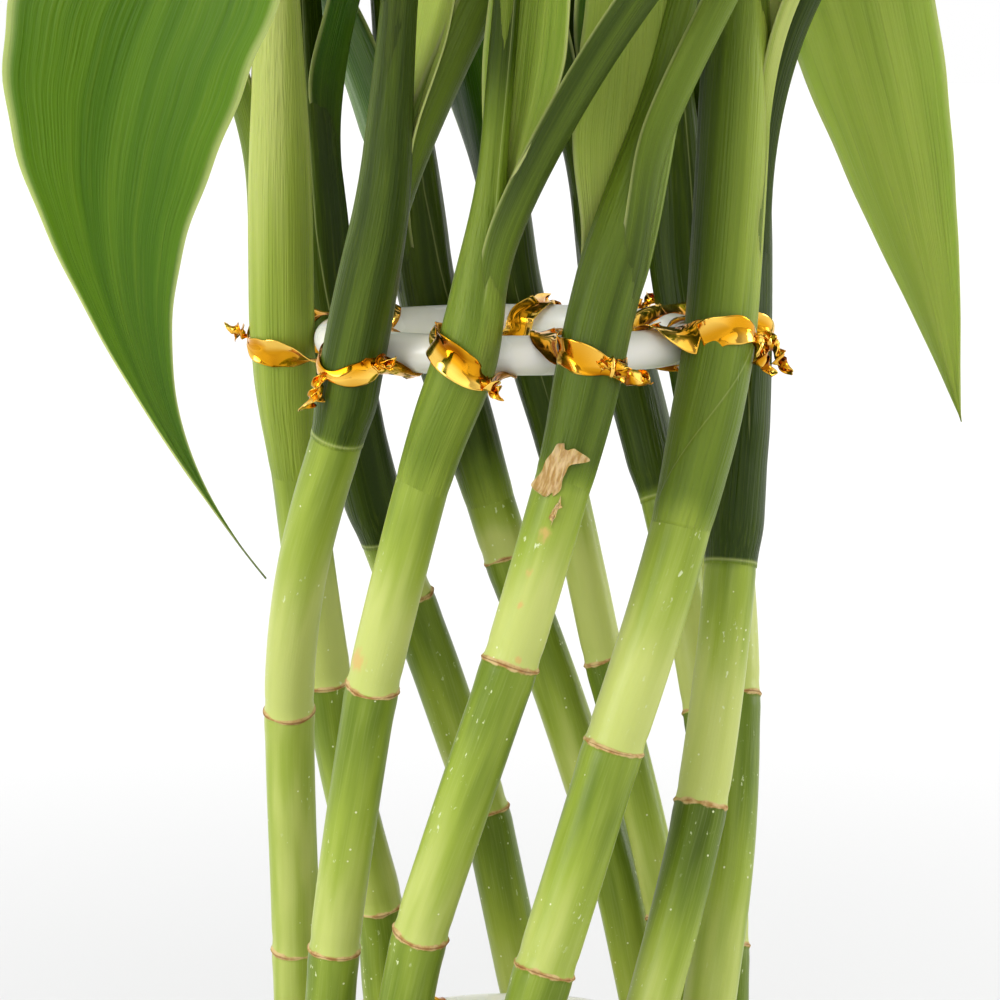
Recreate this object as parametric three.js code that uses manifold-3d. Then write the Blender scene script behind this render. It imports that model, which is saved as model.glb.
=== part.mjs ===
// Lucky bamboo: eleven canes that climb as a twisted cage round two plastic rings, tied on with
// strips of gold foil, each cane with a leafy shoot on top, standing in a bowl of pebbles.
// Millimetres, +Z up, front of the plant towards -Y, origin at the centre of the bowl's foot.
// Angles round the cage are in degrees: 0 is the front, 90 is the right (+X).

import * as THREE from 'three';
import { mergeVertices } from 'three/addons/utils/BufferGeometryUtils.js';
import Module from 'manifold-3d';

// ---------------------------------------------------------------- driving dimensions

const CLEARANCE = 0.3;              // between pieces that touch

const BOWL_HEIGHT = 62;
const BOWL_FOOT_RADIUS = 46;
const BOWL_FOOT_HEIGHT = 5;
const BOWL_RIM_RADIUS = 76;
const BOWL_WALL = 4.5;
const BOWL_FLOOR = 9;               // thickness of the bowl's floor above the table
const BOWL_SIDES = 24;
const WALL_STEPS = 6;

const PEBBLE_TOP = 50;              // level of the pebble bed under its loose top layer
const PEBBLE_RADIUS = 10;
const PEBBLE_WIDTH = 0.8;           // across and through a pebble, as shares of its length
const PEBBLE_HEIGHT = 0.62;
const PEBBLE_COUNT = 26;
const CANE_FOOT = 20;               // the canes end here, down among the pebbles
const CANE_HOLE_EASE = 0.4;         // a cane's hole in the pebbles is this much wider all round

const RING_RADIUS = 37.5;           // centre line of each plastic ring
const RING_TUBE_RADIUS = 4;
const RING_SIDES = 30;
const LOWER_RING_HEIGHT = 79;
const UPPER_RING_HEIGHT = 239;

const CANE_SIDES = 8;
const NODE_FLANGE = 0.09;           // a leaf-scar ring stands proud by this share of the radius
const NODE_RISE = 1.5;              // height over which the scar swells and sinks again
const SHEATH_THICKNESS = 0.9;       // leaf sheaths wrap the stem by this much all round
const LONG_INTERNODE = 42;          // a longer stretch between nodes is shaped by two rings
const BEND_ROUNDING = 7;            // half length over which a bend in a cane is rounded
const STEM_TIP_RADIUS = 2;
const STEM_RINGS = [270, 298];       // heights of the rings that shape the sheathed stem's taper
const PARTING = 32;                 // the mm over which a leaf turns from the stem's line to its own
const PARTING_LEAD = 10;            // it has begun to turn this many mm below its root

const BLADE_THICKNESS = 0.9;
const BLADE_STRIDE = 29;            // length of leaf between the rows of points that shape it
const STRIDE_STEPS = 8;             // the midrib's curve is followed in this many steps a stride
const PETIOLE_HALF_WIDTH = 4.2;
const PETIOLE_FOLD = 58;            // each half of the folded leaf base stands up by this angle
const BLADE_FOLD = 13;
const BLADE_FULL = 0.44;            // a blade keeps its full width until this share of its length
const BLADE_POINT = 1.7;
const BLADE_TIP_HALF_WIDTH = 0.5;

const TIE_WIDTH = 4.4;
const TIE_THICKNESS = 0.6;
const LOWER_TIE_SLANT = 3.5;
const TAIL = [                      // the loose end: steps to the left, forwards and upwards
  [1.3, 0, 0.4],
  [1.5, 5, 1.5],
  [3.5, 9, 3.5],
];

const GOLDEN_ANGLE = 137.508;

// One entry for each stalk, in order round the cage from the left. route holds [height, angle]
// where the stalk bends; nodes are the heights of its leaf scars; sheath is the height where the
// bare cane passes into the leafy shoot, and tip the height where the shoot's stem ends. slim is the
// stretch over which the shoot narrows as its leaves part from it, and the radius it comes down to.
const STALKS = [
  { diameter: 11.5, sheath: 208, tip: 352, slim: [262, 330, 4.0], slant: 3, sag: 0,
    nodes: [52, 104, 160],
    route: [[20, -164], [79, -143], [104, -141], [129, -131],
      [160, -121], [210, -106], [238, -92], [330, -84]] },
  { diameter: 10.7, sheath: 222, tip: 344, slim: [240, 314, 3.4], slant: 1.5, sag: -3.5,
    nodes: [48, 104, 160],
    route: [[20, -112], [79, -97], [120, -93], [160, -84],
      [190, -66], [224, -45], [270, -31], [330, -24]] },
  { diameter: 10.7, sheath: 213, tip: 350, slim: [237, 282, 2.5], slant: 4.5, sag: 0,
    nodes: [60, 115, 172],
    route: [[20, -72], [79, -57], [115, -51], [172, -36],
      [221, -19], [241, -9.5], [270, -5], [330, 1]] },
  { diameter: 11.3, sheath: 214, tip: 354, slim: [254, 300, 3.4], slant: 2.2, sag: -0.5,
    nodes: [64, 122, 179],
    route: [[20, -50], [79, -34], [122, -23], [179, 0], [223, 15], [251, 22], [274, 31], [330, 54]] },
  { diameter: 12.2, sheath: 204, tip: 350, slim: [288, 340, 3.6], slant: 3, sag: 3.5,
    nodes: [66, 116, 161],
    route: [[20, -20], [79, -4], [116, 8], [161, 25], [205, 45], [241, 60], [270, 65], [330, 74]] },
  { diameter: 10.9, sheath: 193, tip: 346, slim: [256, 330, 3.4], slant: 4, sag: 0,
    nodes: [52, 98, 145],
    route: [[20, 12], [79, 28], [106, 38], [145, 56], [193, 73], [235, 86], [270, 92], [330, 101]] },
  { diameter: 11.3, sheath: 214, tip: 336, slim: [256, 330, 3.4], slant: 3, sag: 0,
    nodes: [44, 94, 162],
    route: [[20, 35], [79, 53], [110, 65], [140, 81], [175, 96], [215, 115], [251, 130], [330, 139]] },
  { diameter: 10.1, sheath: 200, tip: 348, slim: [256, 330, 3.4], slant: 3, sag: 0,
    nodes: [56, 106, 154],
    route: [[20, 60], [79, 79], [106, 90], [141, 108], [178, 125],
      [220, 143], [245, 153], [330, 165]] },
  { diameter: 9.3, sheath: 206, tip: 334, slim: [256, 325, 3.2], slant: 3, sag: 1,
    nodes: [50, 104, 161],
    route: [[20, 93], [79, 117], [100, 129], [161, 153], [213, 168],
      [246, 179], [290, 186], [330, 190]] },
  { diameter: 11.3, sheath: 196, tip: 350, slim: [256, 330, 3.4], slant: 3, sag: 0,
    nodes: [66, 126, 184],
    route: [[20, 117], [79, 139], [110, 149], [155, 168],
      [184, 181], [220, 194], [246, 204], [330, 217]] },
  { diameter: 11.5, sheath: 190, tip: 342, slim: [256, 330, 3.4], slant: 3, sag: 0,
    nodes: [70, 124, 176],
    route: [[20, 155], [79, 176], [124, 187], [163, 203],
      [198, 220], [247, 238], [290, 246], [330, 250]] },
];

// ---------------------------------------------------------------- solids

const wasm = await Module();
wasm.setup();

function geometryOf(positions, triangles) {
  const geometry = new THREE.BufferGeometry();
  geometry.setAttribute('position', new THREE.Float32BufferAttribute(positions, 3));
  geometry.setIndex(triangles);
  return geometry;
}

function solidOf(geometry) {
  const bare = geometry.clone();
  bare.deleteAttribute('normal');
  bare.deleteAttribute('uv');
  const merged = mergeVertices(bare, 1e-4);
  const corners = Array.from(merged.index.array);
  const whole = corners.filter((_, i) => {
    const [a, b, c] = corners.slice(i - i % 3, i - i % 3 + 3);
    return a !== b && b !== c && c !== a;
  });
  return new wasm.Manifold(new wasm.Mesh({
    numProp: 3,
    vertProperties: new Float32Array(merged.attributes.position.array),
    triVerts: new Uint32Array(whole),
  }));
}

function geometryFrom(solid) {
  const mesh = solid.getMesh();
  return geometryOf(Array.from(mesh.vertProperties), Array.from(mesh.triVerts));
}

function fuse(geometries) {
  return geometryFrom(geometries.map(solidOf).reduce((whole, next) => whole.add(next)));
}

// A closed tube through rings of points, each ring listed anticlockwise seen from its far end.
function tubeThrough(rings) {
  const sides = rings[0].length;
  const positions = rings.flat().flatMap((point) => point.toArray());
  const triangles = [];
  for (let i = 0; i < rings.length - 1; i++) {
    for (let k = 0; k < sides; k++) {
      const a = i * sides + k;
      const b = i * sides + (k + 1) % sides;
      triangles.push(a, b, b + sides, a, b + sides, a + sides);
    }
  }
  for (const [ring, outwards] of [[0, -1], [rings.length - 1, 1]]) {
    const centre = new THREE.Vector3();
    rings[ring].forEach((point) => centre.addScaledVector(point, 1 / sides));
    const hub = positions.length / 3;
    positions.push(...centre.toArray());
    for (let k = 0; k < sides; k++) {
      const a = ring * sides + k;
      const b = ring * sides + (k + 1) % sides;
      triangles.push(...(outwards > 0 ? [hub, a, b] : [hub, b, a]));
    }
  }
  return geometryOf(positions, triangles);
}

// A closed sheet of even thickness: rows of points across it, and the direction its upper face
// looks at each row. Both faces are split along the same diagonals.
function sheetThrough(rows, normals, thickness) {
  const across = rows[0].length;
  const positions = [];
  for (const side of [0.5, -0.5]) {
    rows.forEach((row, i) => row.forEach((point) => {
      positions.push(...point.clone().addScaledVector(normals[i], side * thickness).toArray());
    }));
  }
  const under = rows.length * across;
  const triangles = [];
  const quad = (a, b, c, d) => triangles.push(a, b, c, a, c, d);
  for (let i = 0; i < rows.length - 1; i++) {
    for (let k = 0; k < across - 1; k++) {
      const a = i * across + k;
      const b = a + across;
      quad(a, a + 1, b + 1, b);
      triangles.push(under + a, under + b + 1, under + a + 1, under + a, under + b, under + b + 1);
    }
    const left = i * across;
    const right = left + across - 1;
    quad(left, left + across, under + left + across, under + left);
    quad(right + across, right, under + right, under + right + across);
  }
  for (let k = 0; k < across - 1; k++) {
    const end = (rows.length - 1) * across + k;
    quad(k + 1, k, under + k, under + k + 1);
    quad(end, end + 1, under + end + 1, under + end);
  }
  return geometryOf(positions, triangles);
}

// ---------------------------------------------------------------- the line of each stalk

function polar(angle, radius, height) {
  const turn = THREE.MathUtils.degToRad(angle);
  return new THREE.Vector3(radius * Math.sin(turn), -radius * Math.cos(turn), height);
}

function between(route, height) {
  if (height <= route[0][0]) {
    return route[0][1];
  }
  for (let i = 1; i < route.length; i++) {
    const [high, end] = route[i];
    const [low, start] = route[i - 1];
    if (height <= high) {
      return start + (end - start) * (height - low) / (high - low);
    }
  }
  return route[route.length - 1][1];
}

function caneRadius(stalk) {
  return stalk.diameter / 2;
}

function sheathRadius(stalk) {
  return caneRadius(stalk) + SHEATH_THICKNESS;
}

// A stalk leans against the outside of both rings, so its centre line stands off by its radius.
function stalkCentre(stalk, height) {
  const shares = [-1, -0.5, 0, 0.5, 1];
  const angles = shares.map((share) => between(stalk.route, height + share * BEND_ROUNDING));
  const angle = angles.reduce((sum, value) => sum + value) / shares.length;
  const climb = THREE.MathUtils.smoothstep(height, LOWER_RING_HEIGHT, UPPER_RING_HEIGHT);
  const radius = caneRadius(stalk) + SHEATH_THICKNESS * climb;
  return polar(angle, RING_RADIUS + RING_TUBE_RADIUS + CLEARANCE + radius, height);
}

function stalkDirection(stalk, height) {
  const step = 1;
  const above = stalkCentre(stalk, height + step);
  return above.sub(stalkCentre(stalk, height - step)).normalize();
}

function stalkRing(stalk, height, radius, sides) {
  const centre = stalkCentre(stalk, height);
  const along = stalkDirection(stalk, height);
  const out = new THREE.Vector3(centre.x, centre.y, 0).normalize();
  out.addScaledVector(along, -out.dot(along)).normalize();
  const sideways = new THREE.Vector3().crossVectors(along, out);
  return Array.from({ length: sides }, (_, k) => {
    const turn = 2 * Math.PI * k / sides;
    return centre.clone()
      .addScaledVector(out, radius * Math.cos(turn))
      .addScaledVector(sideways, radius * Math.sin(turn));
  });
}

// ---------------------------------------------------------------- canes

// Heights and widths of the rings that shape one cane: a raised scar at each node, a little waist
// above it, and plain stations between.
function caneStations(stalk) {
  const stations = [[CANE_FOOT, 0.98]];
  const ends = [...stalk.nodes, stalk.sheath];
  let from = CANE_FOOT;
  for (const end of ends) {
    const bends = end - from > LONG_INTERNODE ? [0.38, 0.7] : [0.5];
    bends.forEach((share) => stations.push([from + (end - from) * share, 0.98]));
    if (end !== stalk.sheath) {
      stations.push([end - NODE_RISE, 1], [end, 1 + NODE_FLANGE], [end + NODE_RISE, 0.97]);
    }
    from = end;
  }
  stations.push([stalk.sheath - CLEARANCE, 1]);
  return stations;
}

function cane(stalk) {
  const radius = caneRadius(stalk);
  return tubeThrough(caneStations(stalk).map(([height, share]) => (
    stalkRing(stalk, height, radius * share, CANE_SIDES)
  )));
}

// ---------------------------------------------------------------- leafy shoots

// Every leaf leaves its stalk at height root towards the compass angle aim, climbing at rise[0]
// degrees and ending at rise[1]. Between the shares of its length in bend it bends over, and
// between those in open its folded base, petiole across from midrib to edge, widens into the blade.
// The blade keeps its full width until the share full, and point is how drawn out its tip is. turn
// swings it sideways, mostly near the tip, and twist rolls the blade. These are the leaves that
// show lowest on the plant, the two long hanging ones among them; crownLeaves adds the rest.
const LOW_LEAVES = [
  [{ root: 252, aim: -88, turn: -6, rise: [70, 34], bend: [0.4, 1], open: [0.30, 0.62],
      length: 150, width: 28, twist: 10, petiole: 6 }],
  [{ root: 240, aim: 112, turn: -54, rise: [66, 60], open: [0.50, 0.80],
      length: 132, width: 26, twist: -15, petiole: 9.5 },
    { root: 262, aim: 140, turn: 0, rise: [68, 76], open: [0.05, 0.34],
      length: 124, width: 16, twist: 0 },
    { root: 301, aim: -45, turn: 110, rise: [77, -50], bend: [0.09, 0.36],
      length: 240, width: 52, twist: -10, full: 0.40, point: 2.0 }],
  [{ root: 236, aim: 78, turn: -62, rise: [66, 40], bend: [0.05, 0.8], open: [0.5, 0.8],
      length: 182, width: 28, twist: 10, petiole: 6.5 },
    { root: 249, aim: 96, turn: -30, rise: [66, 84], bend: [0, 0.4], open: [0.05, 0.4],
      length: 130, width: 19, twist: 56 }],
  [{ root: 246, aim: 158, turn: 4, rise: [78, 74], open: [0.02, 0.28],
      length: 136, width: 20, twist: 30 },
    { root: 254, aim: 80, turn: -16, rise: [65, 56], open: [0.5, 0.8],
      length: 170, width: 30, twist: 0, petiole: 6.5 }],
  [{ root: 258, aim: 112, turn: -22, rise: [78, 30], open: [0.4, 0.7],
      length: 140, width: 30, twist: -10, petiole: 5.5 }],
  [{ root: 240, aim: 94, turn: 4, rise: [78, 16], bend: [0.22, 0.9], open: [0.45, 0.75],
      length: 166, width: 30, twist: 20, petiole: 5 }],
  [{ root: 254, aim: 138, turn: 12, rise: [76, 10], length: 150, width: 30, twist: 8 },
    { root: 313, aim: 102, turn: -25, rise: [85, -74], bend: [0.15, 0.38],
      length: 220, width: 38, twist: -74, point: 1.1 }],
  [{ root: 248, aim: -68, turn: -10, rise: [69, 72], open: [0.3, 0.6],
      length: 130, width: 24, twist: 8, petiole: 6.5 }],
  [{ root: 246, aim: -37, turn: -10, rise: [69, 73], open: [0.05, 0.4],
      length: 130, width: 24, twist: -8 }],
  [{ root: 246, aim: -84, turn: -10, rise: [70, 64], open: [0.02, 0.3],
      length: 130, width: 26, twist: 20, petiole: 5.5 }],
  [{ root: 258, aim: -120, turn: -4, rise: [78, 14], length: 150, width: 30, twist: 6 },
    { root: 258, aim: 62, turn: -10, rise: [76, 66], open: [0.12, 0.4],
      length: 124, width: 26, twist: 20 }],
];

const CROWN_LEAVES = 4;

// Repeatable scatter between -1 and 1 for the nth draw.
function scatter(n) {
  const value = Math.sin(n * 12.9898 + 4.1414) * 43758.5453;
  return 2 * (value - Math.floor(value)) - 1;
}

// The upper leaves of one shoot: alternately swung to either side of straight outwards, each one
// higher, shorter and more upright than the last.
function crownLeaves(stalk, index) {
  const outwards = between(stalk.route, stalk.tip);
  return Array.from({ length: CROWN_LEAVES }, (_, k) => {
    const draw = index * 20 + k * 5;
    const share = k / (CROWN_LEAVES - 1);
    const side = k % 2 === 0 ? 1 : -1;
    return {
      root: stalk.tip - 42 + 38 * share,
      aim: outwards + side * (8 + 3 * scatter(draw)),
      turn: side * 6 * scatter(draw + 1),
      rise: [70 + 12 * share, -12 + 74 * share + 12 * scatter(draw + 2)],
      length: 152 - 36 * share + 10 * scatter(draw + 3),
      width: 31 - 8 * share,
      twist: 12 * scatter(draw + 4),
    };
  });
}

// Half width of a leaf at a share of its length: a narrow folded base, then the spear-shaped blade,
// which leaves its full width smoothly and comes down to a drawn-out tip.
function leafHalfWidth(shape, share) {
  const full = shape.full ?? BLADE_FULL;
  const point = shape.point ?? BLADE_POINT;
  const left = 1 - Math.max(0, (share - full) / (1 - full));
  const tapering = Math.pow(left, point) * (1 + point * (1 - left));
  const blade = Math.max(shape.width / 2 * tapering, BLADE_TIP_HALF_WIDTH);
  const base = shape.petiole ?? PETIOLE_HALF_WIDTH;
  return base + (blade - base) * leafOpening(shape, share);
}

// How far a leaf has opened from its folded base, 0 to 1, at a share of its length.
function leafOpening(shape, share) {
  const [start, end] = shape.open ?? [0.16, 0.5];
  return THREE.MathUtils.smoothstep(share, start, end);
}

// Which way a leaf runs of its own at a share of its length, with the level direction square to that.
function leafHeading(shape, share) {
  const [start, end] = shape.bend ?? [0, 1];
  const fall = THREE.MathUtils.smoothstep(share, start, end);
  const [rise, fallen] = shape.rise;
  const compass = THREE.MathUtils.degToRad(shape.aim + shape.turn * share * share);
  const climb = THREE.MathUtils.degToRad(rise + (fallen - rise) * fall);
  const along = new THREE.Vector3(
    Math.sin(compass) * Math.cos(climb),
    -Math.cos(compass) * Math.cos(climb),
    Math.sin(climb),
  );
  return { along, across: new THREE.Vector3(Math.cos(compass), Math.sin(compass), 0) };
}

// A leaf follows the stem at first and turns little by little to its own direction.
function partingHeading(stalk, shape, share) {
  const own = THREE.MathUtils.smoothstep(share * shape.length, -PARTING_LEAD, PARTING);
  return stalkDirection(stalk, shape.root).lerp(leafHeading(shape, share).along, own).normalize();
}

function leaf(stalk, shape) {
  const rows = [];
  const normals = [];
  const point = stalkCentre(stalk, shape.root);
  const stations = Math.round(shape.length / BLADE_STRIDE);
  const step = 1 / (stations * STRIDE_STEPS);
  for (let i = 0; i <= stations; i++) {
    const share = i / stations;
    const along = partingHeading(stalk, shape, share);
    const { across } = leafHeading(shape, share);
    const opening = leafOpening(shape, share);
    across.addScaledVector(along, -across.dot(along)).normalize();
    across.applyAxisAngle(along, THREE.MathUtils.degToRad(shape.twist * opening));
    const up = new THREE.Vector3().crossVectors(across, along);
    const fold = THREE.MathUtils.degToRad(PETIOLE_FOLD + (BLADE_FOLD - PETIOLE_FOLD) * opening);
    const parted = THREE.MathUtils.smoothstep(share * shape.length, 0, PARTING);
    const half = THREE.MathUtils.lerp(0.9 * caneRadius(stalk), leafHalfWidth(shape, share), parted);
    rows.push([-1, 0, 1].map((side) => point.clone()
      .addScaledVector(across, side * half * Math.cos(fold))
      .addScaledVector(up, Math.abs(side) * half * Math.sin(fold))));
    normals.push(up);
    for (let k = 0; k < STRIDE_STEPS; k++) {
      const middle = share + (k + 0.5) * step;
      point.addScaledVector(partingHeading(stalk, shape, middle), shape.length * step);
    }
  }
  return sheetThrough(rows, normals, BLADE_THICKNESS);
}

// The sheathed stem keeps its full width at first, is slimmer where its leaves have parted from it
// and tapers to its tip.
function stemRadius(stalk, height) {
  const [start, end, slim] = stalk.slim;
  const parted = THREE.MathUtils.smoothstep(height, start, end);
  const radius = THREE.MathUtils.lerp(sheathRadius(stalk), slim, parted);
  const ending = THREE.MathUtils.smoothstep(height, end, stalk.tip);
  return THREE.MathUtils.lerp(radius, STEM_TIP_RADIUS, ending);
}

function sheathedStem(stalk) {
  const start = stalkRing(stalk, stalk.sheath, sheathRadius(stalk) * 0.97, CANE_SIDES);
  const heights = [stalk.sheath + 2, UPPER_RING_HEIGHT, ...STEM_RINGS, stalk.tip];
  return tubeThrough([start, ...heights.map((height) => (
    stalkRing(stalk, height, stemRadius(stalk, height), CANE_SIDES)
  ))]);
}

function shoot(stalk, index) {
  const leaves = [...LOW_LEAVES[index], ...crownLeaves(stalk, index)];
  return fuse([sheathedStem(stalk), ...leaves.map((shape) => leaf(stalk, shape))]);
}

// ---------------------------------------------------------------- rings and ties

function plasticRing(height) {
  return new THREE.TorusGeometry(RING_RADIUS, RING_TUBE_RADIUS, 8, RING_SIDES).translate(0, 0, height);
}

// One strip of foil: it crosses the front of the stalk on a slant, passes over the ring on one
// side and under it on the other, meets behind it and ends in a tail beside the stalk. sag lifts
// or drops its front.
function tie(stalk, ringHeight, radius, slant, sag) {
  const centre = stalkCentre(stalk, ringHeight);
  const out = new THREE.Vector3(centre.x, centre.y, 0).normalize();
  const right = new THREE.Vector3(-out.y, out.x, 0);
  const direction = stalkDirection(stalk, ringHeight);
  const lean = direction.dot(right) / direction.z;
  const tubeBack = radius + CLEARANCE + RING_TUBE_RADIUS;
  const round = (radius + CLEARANCE + TIE_THICKNESS) / Math.cos(Math.PI / 8);
  const wide = round * Math.hypot(1, lean);
  const reach = (RING_TUBE_RADIUS + CLEARANCE + TIE_THICKNESS) / Math.cos(Math.PI / 8);
  const stations = [];
  for (let k = 0; k <= 4; k++) {
    const turn = Math.PI * (k / 4 - 0.5);
    const lift = -slant * Math.sin(turn) + sag * Math.cos(turn);
    const away = new THREE.Vector2(Math.sin(turn), Math.cos(turn));
    stations.push([away.x * wide + lean * lift, away.y * round, lift, away.x, away.y, 0]);
  }
  for (let k = 0; k <= 4; k++) {
    const turn = Math.PI * k / 4;
    const side = 1 - k / 2;
    const lift = -reach * Math.cos(turn);
    const back = -tubeBack - reach * Math.sin(turn);
    stations.push([side * wide + lean * lift, back, lift, 0, -Math.sin(turn), -Math.cos(turn)]);
  }
  const last = stations[0];
  TAIL.forEach(([left, forwards, up], k) => {
    stations.push([last[0] - left, last[1] + forwards, last[2] + up, -1, 0.2 * k, 0.2 * k]);
  });
  const places = stations.map(([x, y, z]) => centre.clone()
    .addScaledVector(right, x).addScaledVector(out, y).add(new THREE.Vector3(0, 0, z)));
  const faces = stations.map(([, , , x, y, z]) => new THREE.Vector3(0, 0, z)
    .addScaledVector(right, x).addScaledVector(out, y).normalize());
  const rows = places.map((place, i) => {
    const before = places[Math.max(0, i - 1)];
    const after = places[Math.min(places.length - 1, i + 1)];
    const along = after.clone().sub(before).normalize();
    const across = new THREE.Vector3().crossVectors(along, faces[i]).normalize();
    const half = TIE_WIDTH / 2;
    return [place.clone().addScaledVector(across, -half), place.clone().addScaledVector(across, half)];
  });
  return sheetThrough(rows, faces, TIE_THICKNESS);
}

// ---------------------------------------------------------------- bowl and pebbles

// The wall's profile from the floor up to the lip: a quarter of an ellipse, inset by a distance.
function wallProfile(inset, floor) {
  const foot = BOWL_FOOT_RADIUS - inset;
  const rim = BOWL_RIM_RADIUS - inset;
  const top = BOWL_HEIGHT - BOWL_WALL / 2;
  return Array.from({ length: WALL_STEPS + 1 }, (_, i) => {
    const turn = Math.PI / 2 * i / WALL_STEPS;
    return new THREE.Vector2(
      foot + (rim - foot) * Math.sin(turn),
      floor + (top - floor) * (1 - Math.cos(turn)),
    );
  });
}

function bowl() {
  const outside = wallProfile(0, BOWL_FOOT_HEIGHT);
  const inside = wallProfile(BOWL_WALL, BOWL_FLOOR).reverse();
  const lip = [0.25, 0.5, 0.75].map((share) => new THREE.Vector2(
    BOWL_RIM_RADIUS - BOWL_WALL / 2 + BOWL_WALL / 2 * Math.cos(Math.PI * share),
    BOWL_HEIGHT - BOWL_WALL / 2 + BOWL_WALL / 2 * Math.sin(Math.PI * share),
  ));
  const foot = [
    new THREE.Vector2(0, 0),
    new THREE.Vector2(BOWL_FOOT_RADIUS - 5, 0),
    new THREE.Vector2(BOWL_FOOT_RADIUS - 4, 1),
  ];
  const profile = [...foot, ...outside, ...lip, ...inside, new THREE.Vector2(0, BOWL_FLOOR)];
  return new THREE.LatheGeometry(profile, BOWL_SIDES).rotateX(Math.PI / 2);
}

// Loose pebbles lie over the bed in a sunflower spiral, each turned and tilted its own way.
function pebble(index, bedRadius) {
  const spread = (bedRadius - PEBBLE_RADIUS) * Math.sqrt((index + 0.5) / PEBBLE_COUNT);
  const centre = polar(index * GOLDEN_ANGLE, spread, PEBBLE_TOP - 0.6 + 0.8 * scatter(index));
  const size = PEBBLE_RADIUS * (0.9 + 0.12 * scatter(index + 100));
  return new THREE.IcosahedronGeometry(1, 0)
    .scale(size, size * PEBBLE_WIDTH, size * PEBBLE_HEIGHT)
    .rotateX(0.3 * scatter(index + 200))
    .rotateZ(Math.PI * scatter(index + 300))
    .translate(centre.x, centre.y, centre.z);
}

function caneHole(stalk) {
  const radius = caneRadius(stalk) * (1 + NODE_FLANGE) + CANE_HOLE_EASE;
  const heights = [CANE_FOOT - CLEARANCE, 30, 40, 50, PEBBLE_TOP + PEBBLE_RADIUS + 3];
  return tubeThrough(heights.map((height) => stalkRing(stalk, height, radius, CANE_SIDES)));
}

function pebbleBed() {
  const wall = wallProfile(BOWL_WALL + CLEARANCE, BOWL_FLOOR).slice(0, WALL_STEPS);
  const bedRadius = wall[WALL_STEPS - 1].x;
  const profile = [
    new THREE.Vector2(0, BOWL_FLOOR),
    ...wall,
    new THREE.Vector2(bedRadius, PEBBLE_TOP),
    new THREE.Vector2(0, PEBBLE_TOP),
  ];
  const bed = new THREE.LatheGeometry(profile, BOWL_SIDES).rotateX(Math.PI / 2).translate(0, 0, CLEARANCE);
  const pebbles = Array.from({ length: PEBBLE_COUNT }, (_, k) => solidOf(pebble(k, bedRadius)));
  const whole = pebbles.reduce((pile, next) => pile.add(next), solidOf(bed));
  const holes = STALKS.map((stalk) => solidOf(caneHole(stalk)));
  return geometryFrom(holes.reduce((rest, hole) => rest.subtract(hole), whole));
}

// ---------------------------------------------------------------- the whole plant

const MATERIALS = {
  cane: new THREE.MeshStandardMaterial({ color: 0xa3b95a, roughness: 0.42, metalness: 0 }),
  shoot: new THREE.MeshStandardMaterial({ color: 0x4c7430, roughness: 0.45, metalness: 0 }),
  plastic: new THREE.MeshStandardMaterial({ color: 0xe4e4de, roughness: 0.35, metalness: 0 }),
  foil: new THREE.MeshStandardMaterial({ color: 0xe0a018, roughness: 0.25, metalness: 1 }),
  glaze: new THREE.MeshStandardMaterial({ color: 0xe6e8e0, roughness: 0.2, metalness: 0 }),
  stone: new THREE.MeshStandardMaterial({ color: 0xcfcac0, roughness: 0.6, metalness: 0 }),
};

const plant = new THREE.Group();

function place(name, geometry, material) {
  const mesh = new THREE.Mesh(geometry, material);
  mesh.name = name;
  plant.add(mesh);
}

place('bowl', bowl(), MATERIALS.glaze);
place('pebble_bed', pebbleBed(), MATERIALS.stone);
place('lower_ring', plasticRing(LOWER_RING_HEIGHT), MATERIALS.plastic);
place('upper_ring', plasticRing(UPPER_RING_HEIGHT), MATERIALS.plastic);

STALKS.forEach((stalk, index) => {
  const number = String(index + 1).padStart(2, '0');
  const lowerTie = tie(stalk, LOWER_RING_HEIGHT, caneRadius(stalk), LOWER_TIE_SLANT, 0);
  const upperTie = tie(stalk, UPPER_RING_HEIGHT, sheathRadius(stalk), stalk.slant, stalk.sag);
  place(`cane_${number}`, cane(stalk), MATERIALS.cane);
  place(`shoot_${number}`, shoot(stalk, index), MATERIALS.shoot);
  place(`lower_tie_${number}`, lowerTie, MATERIALS.foil);
  place(`upper_tie_${number}`, upperTie, MATERIALS.foil);
});

export default plant;
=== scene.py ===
import math

import bpy
import numpy as np
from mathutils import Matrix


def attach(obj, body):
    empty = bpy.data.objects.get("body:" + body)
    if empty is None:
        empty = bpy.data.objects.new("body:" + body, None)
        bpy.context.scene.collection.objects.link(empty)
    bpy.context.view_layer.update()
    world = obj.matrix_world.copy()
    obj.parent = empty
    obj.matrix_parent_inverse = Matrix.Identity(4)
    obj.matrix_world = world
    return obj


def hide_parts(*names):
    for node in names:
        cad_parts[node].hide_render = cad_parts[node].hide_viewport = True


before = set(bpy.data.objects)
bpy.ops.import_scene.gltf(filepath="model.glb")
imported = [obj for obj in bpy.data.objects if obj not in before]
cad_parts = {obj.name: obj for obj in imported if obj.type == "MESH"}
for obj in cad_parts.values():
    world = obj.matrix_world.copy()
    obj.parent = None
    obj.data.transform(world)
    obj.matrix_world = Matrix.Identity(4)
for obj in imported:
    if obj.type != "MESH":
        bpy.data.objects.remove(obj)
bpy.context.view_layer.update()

# Shapes are worked out in millimetres, in the part's own frame: +Z up, the front towards -Y.
# Angles round the cage are in degrees, 0 at the front and 90 on the right.

MM = 0.001

BOWL_HEIGHT, BOWL_FOOT_HEIGHT, BOWL_WALL, BOWL_FLOOR = 62, 5, 4.5, 9
BOWL_FOOT_RADIUS, BOWL_RIM_RADIUS = 46, 76
PEBBLE_TOP = 50
CANE_FOOT = 20

RING_RADIUS, RING_TUBE_RADIUS = 37.5, 4
LOWER_RING_HEIGHT, UPPER_RING_HEIGHT = 79, 239
CLEARANCE = 0.3

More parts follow.
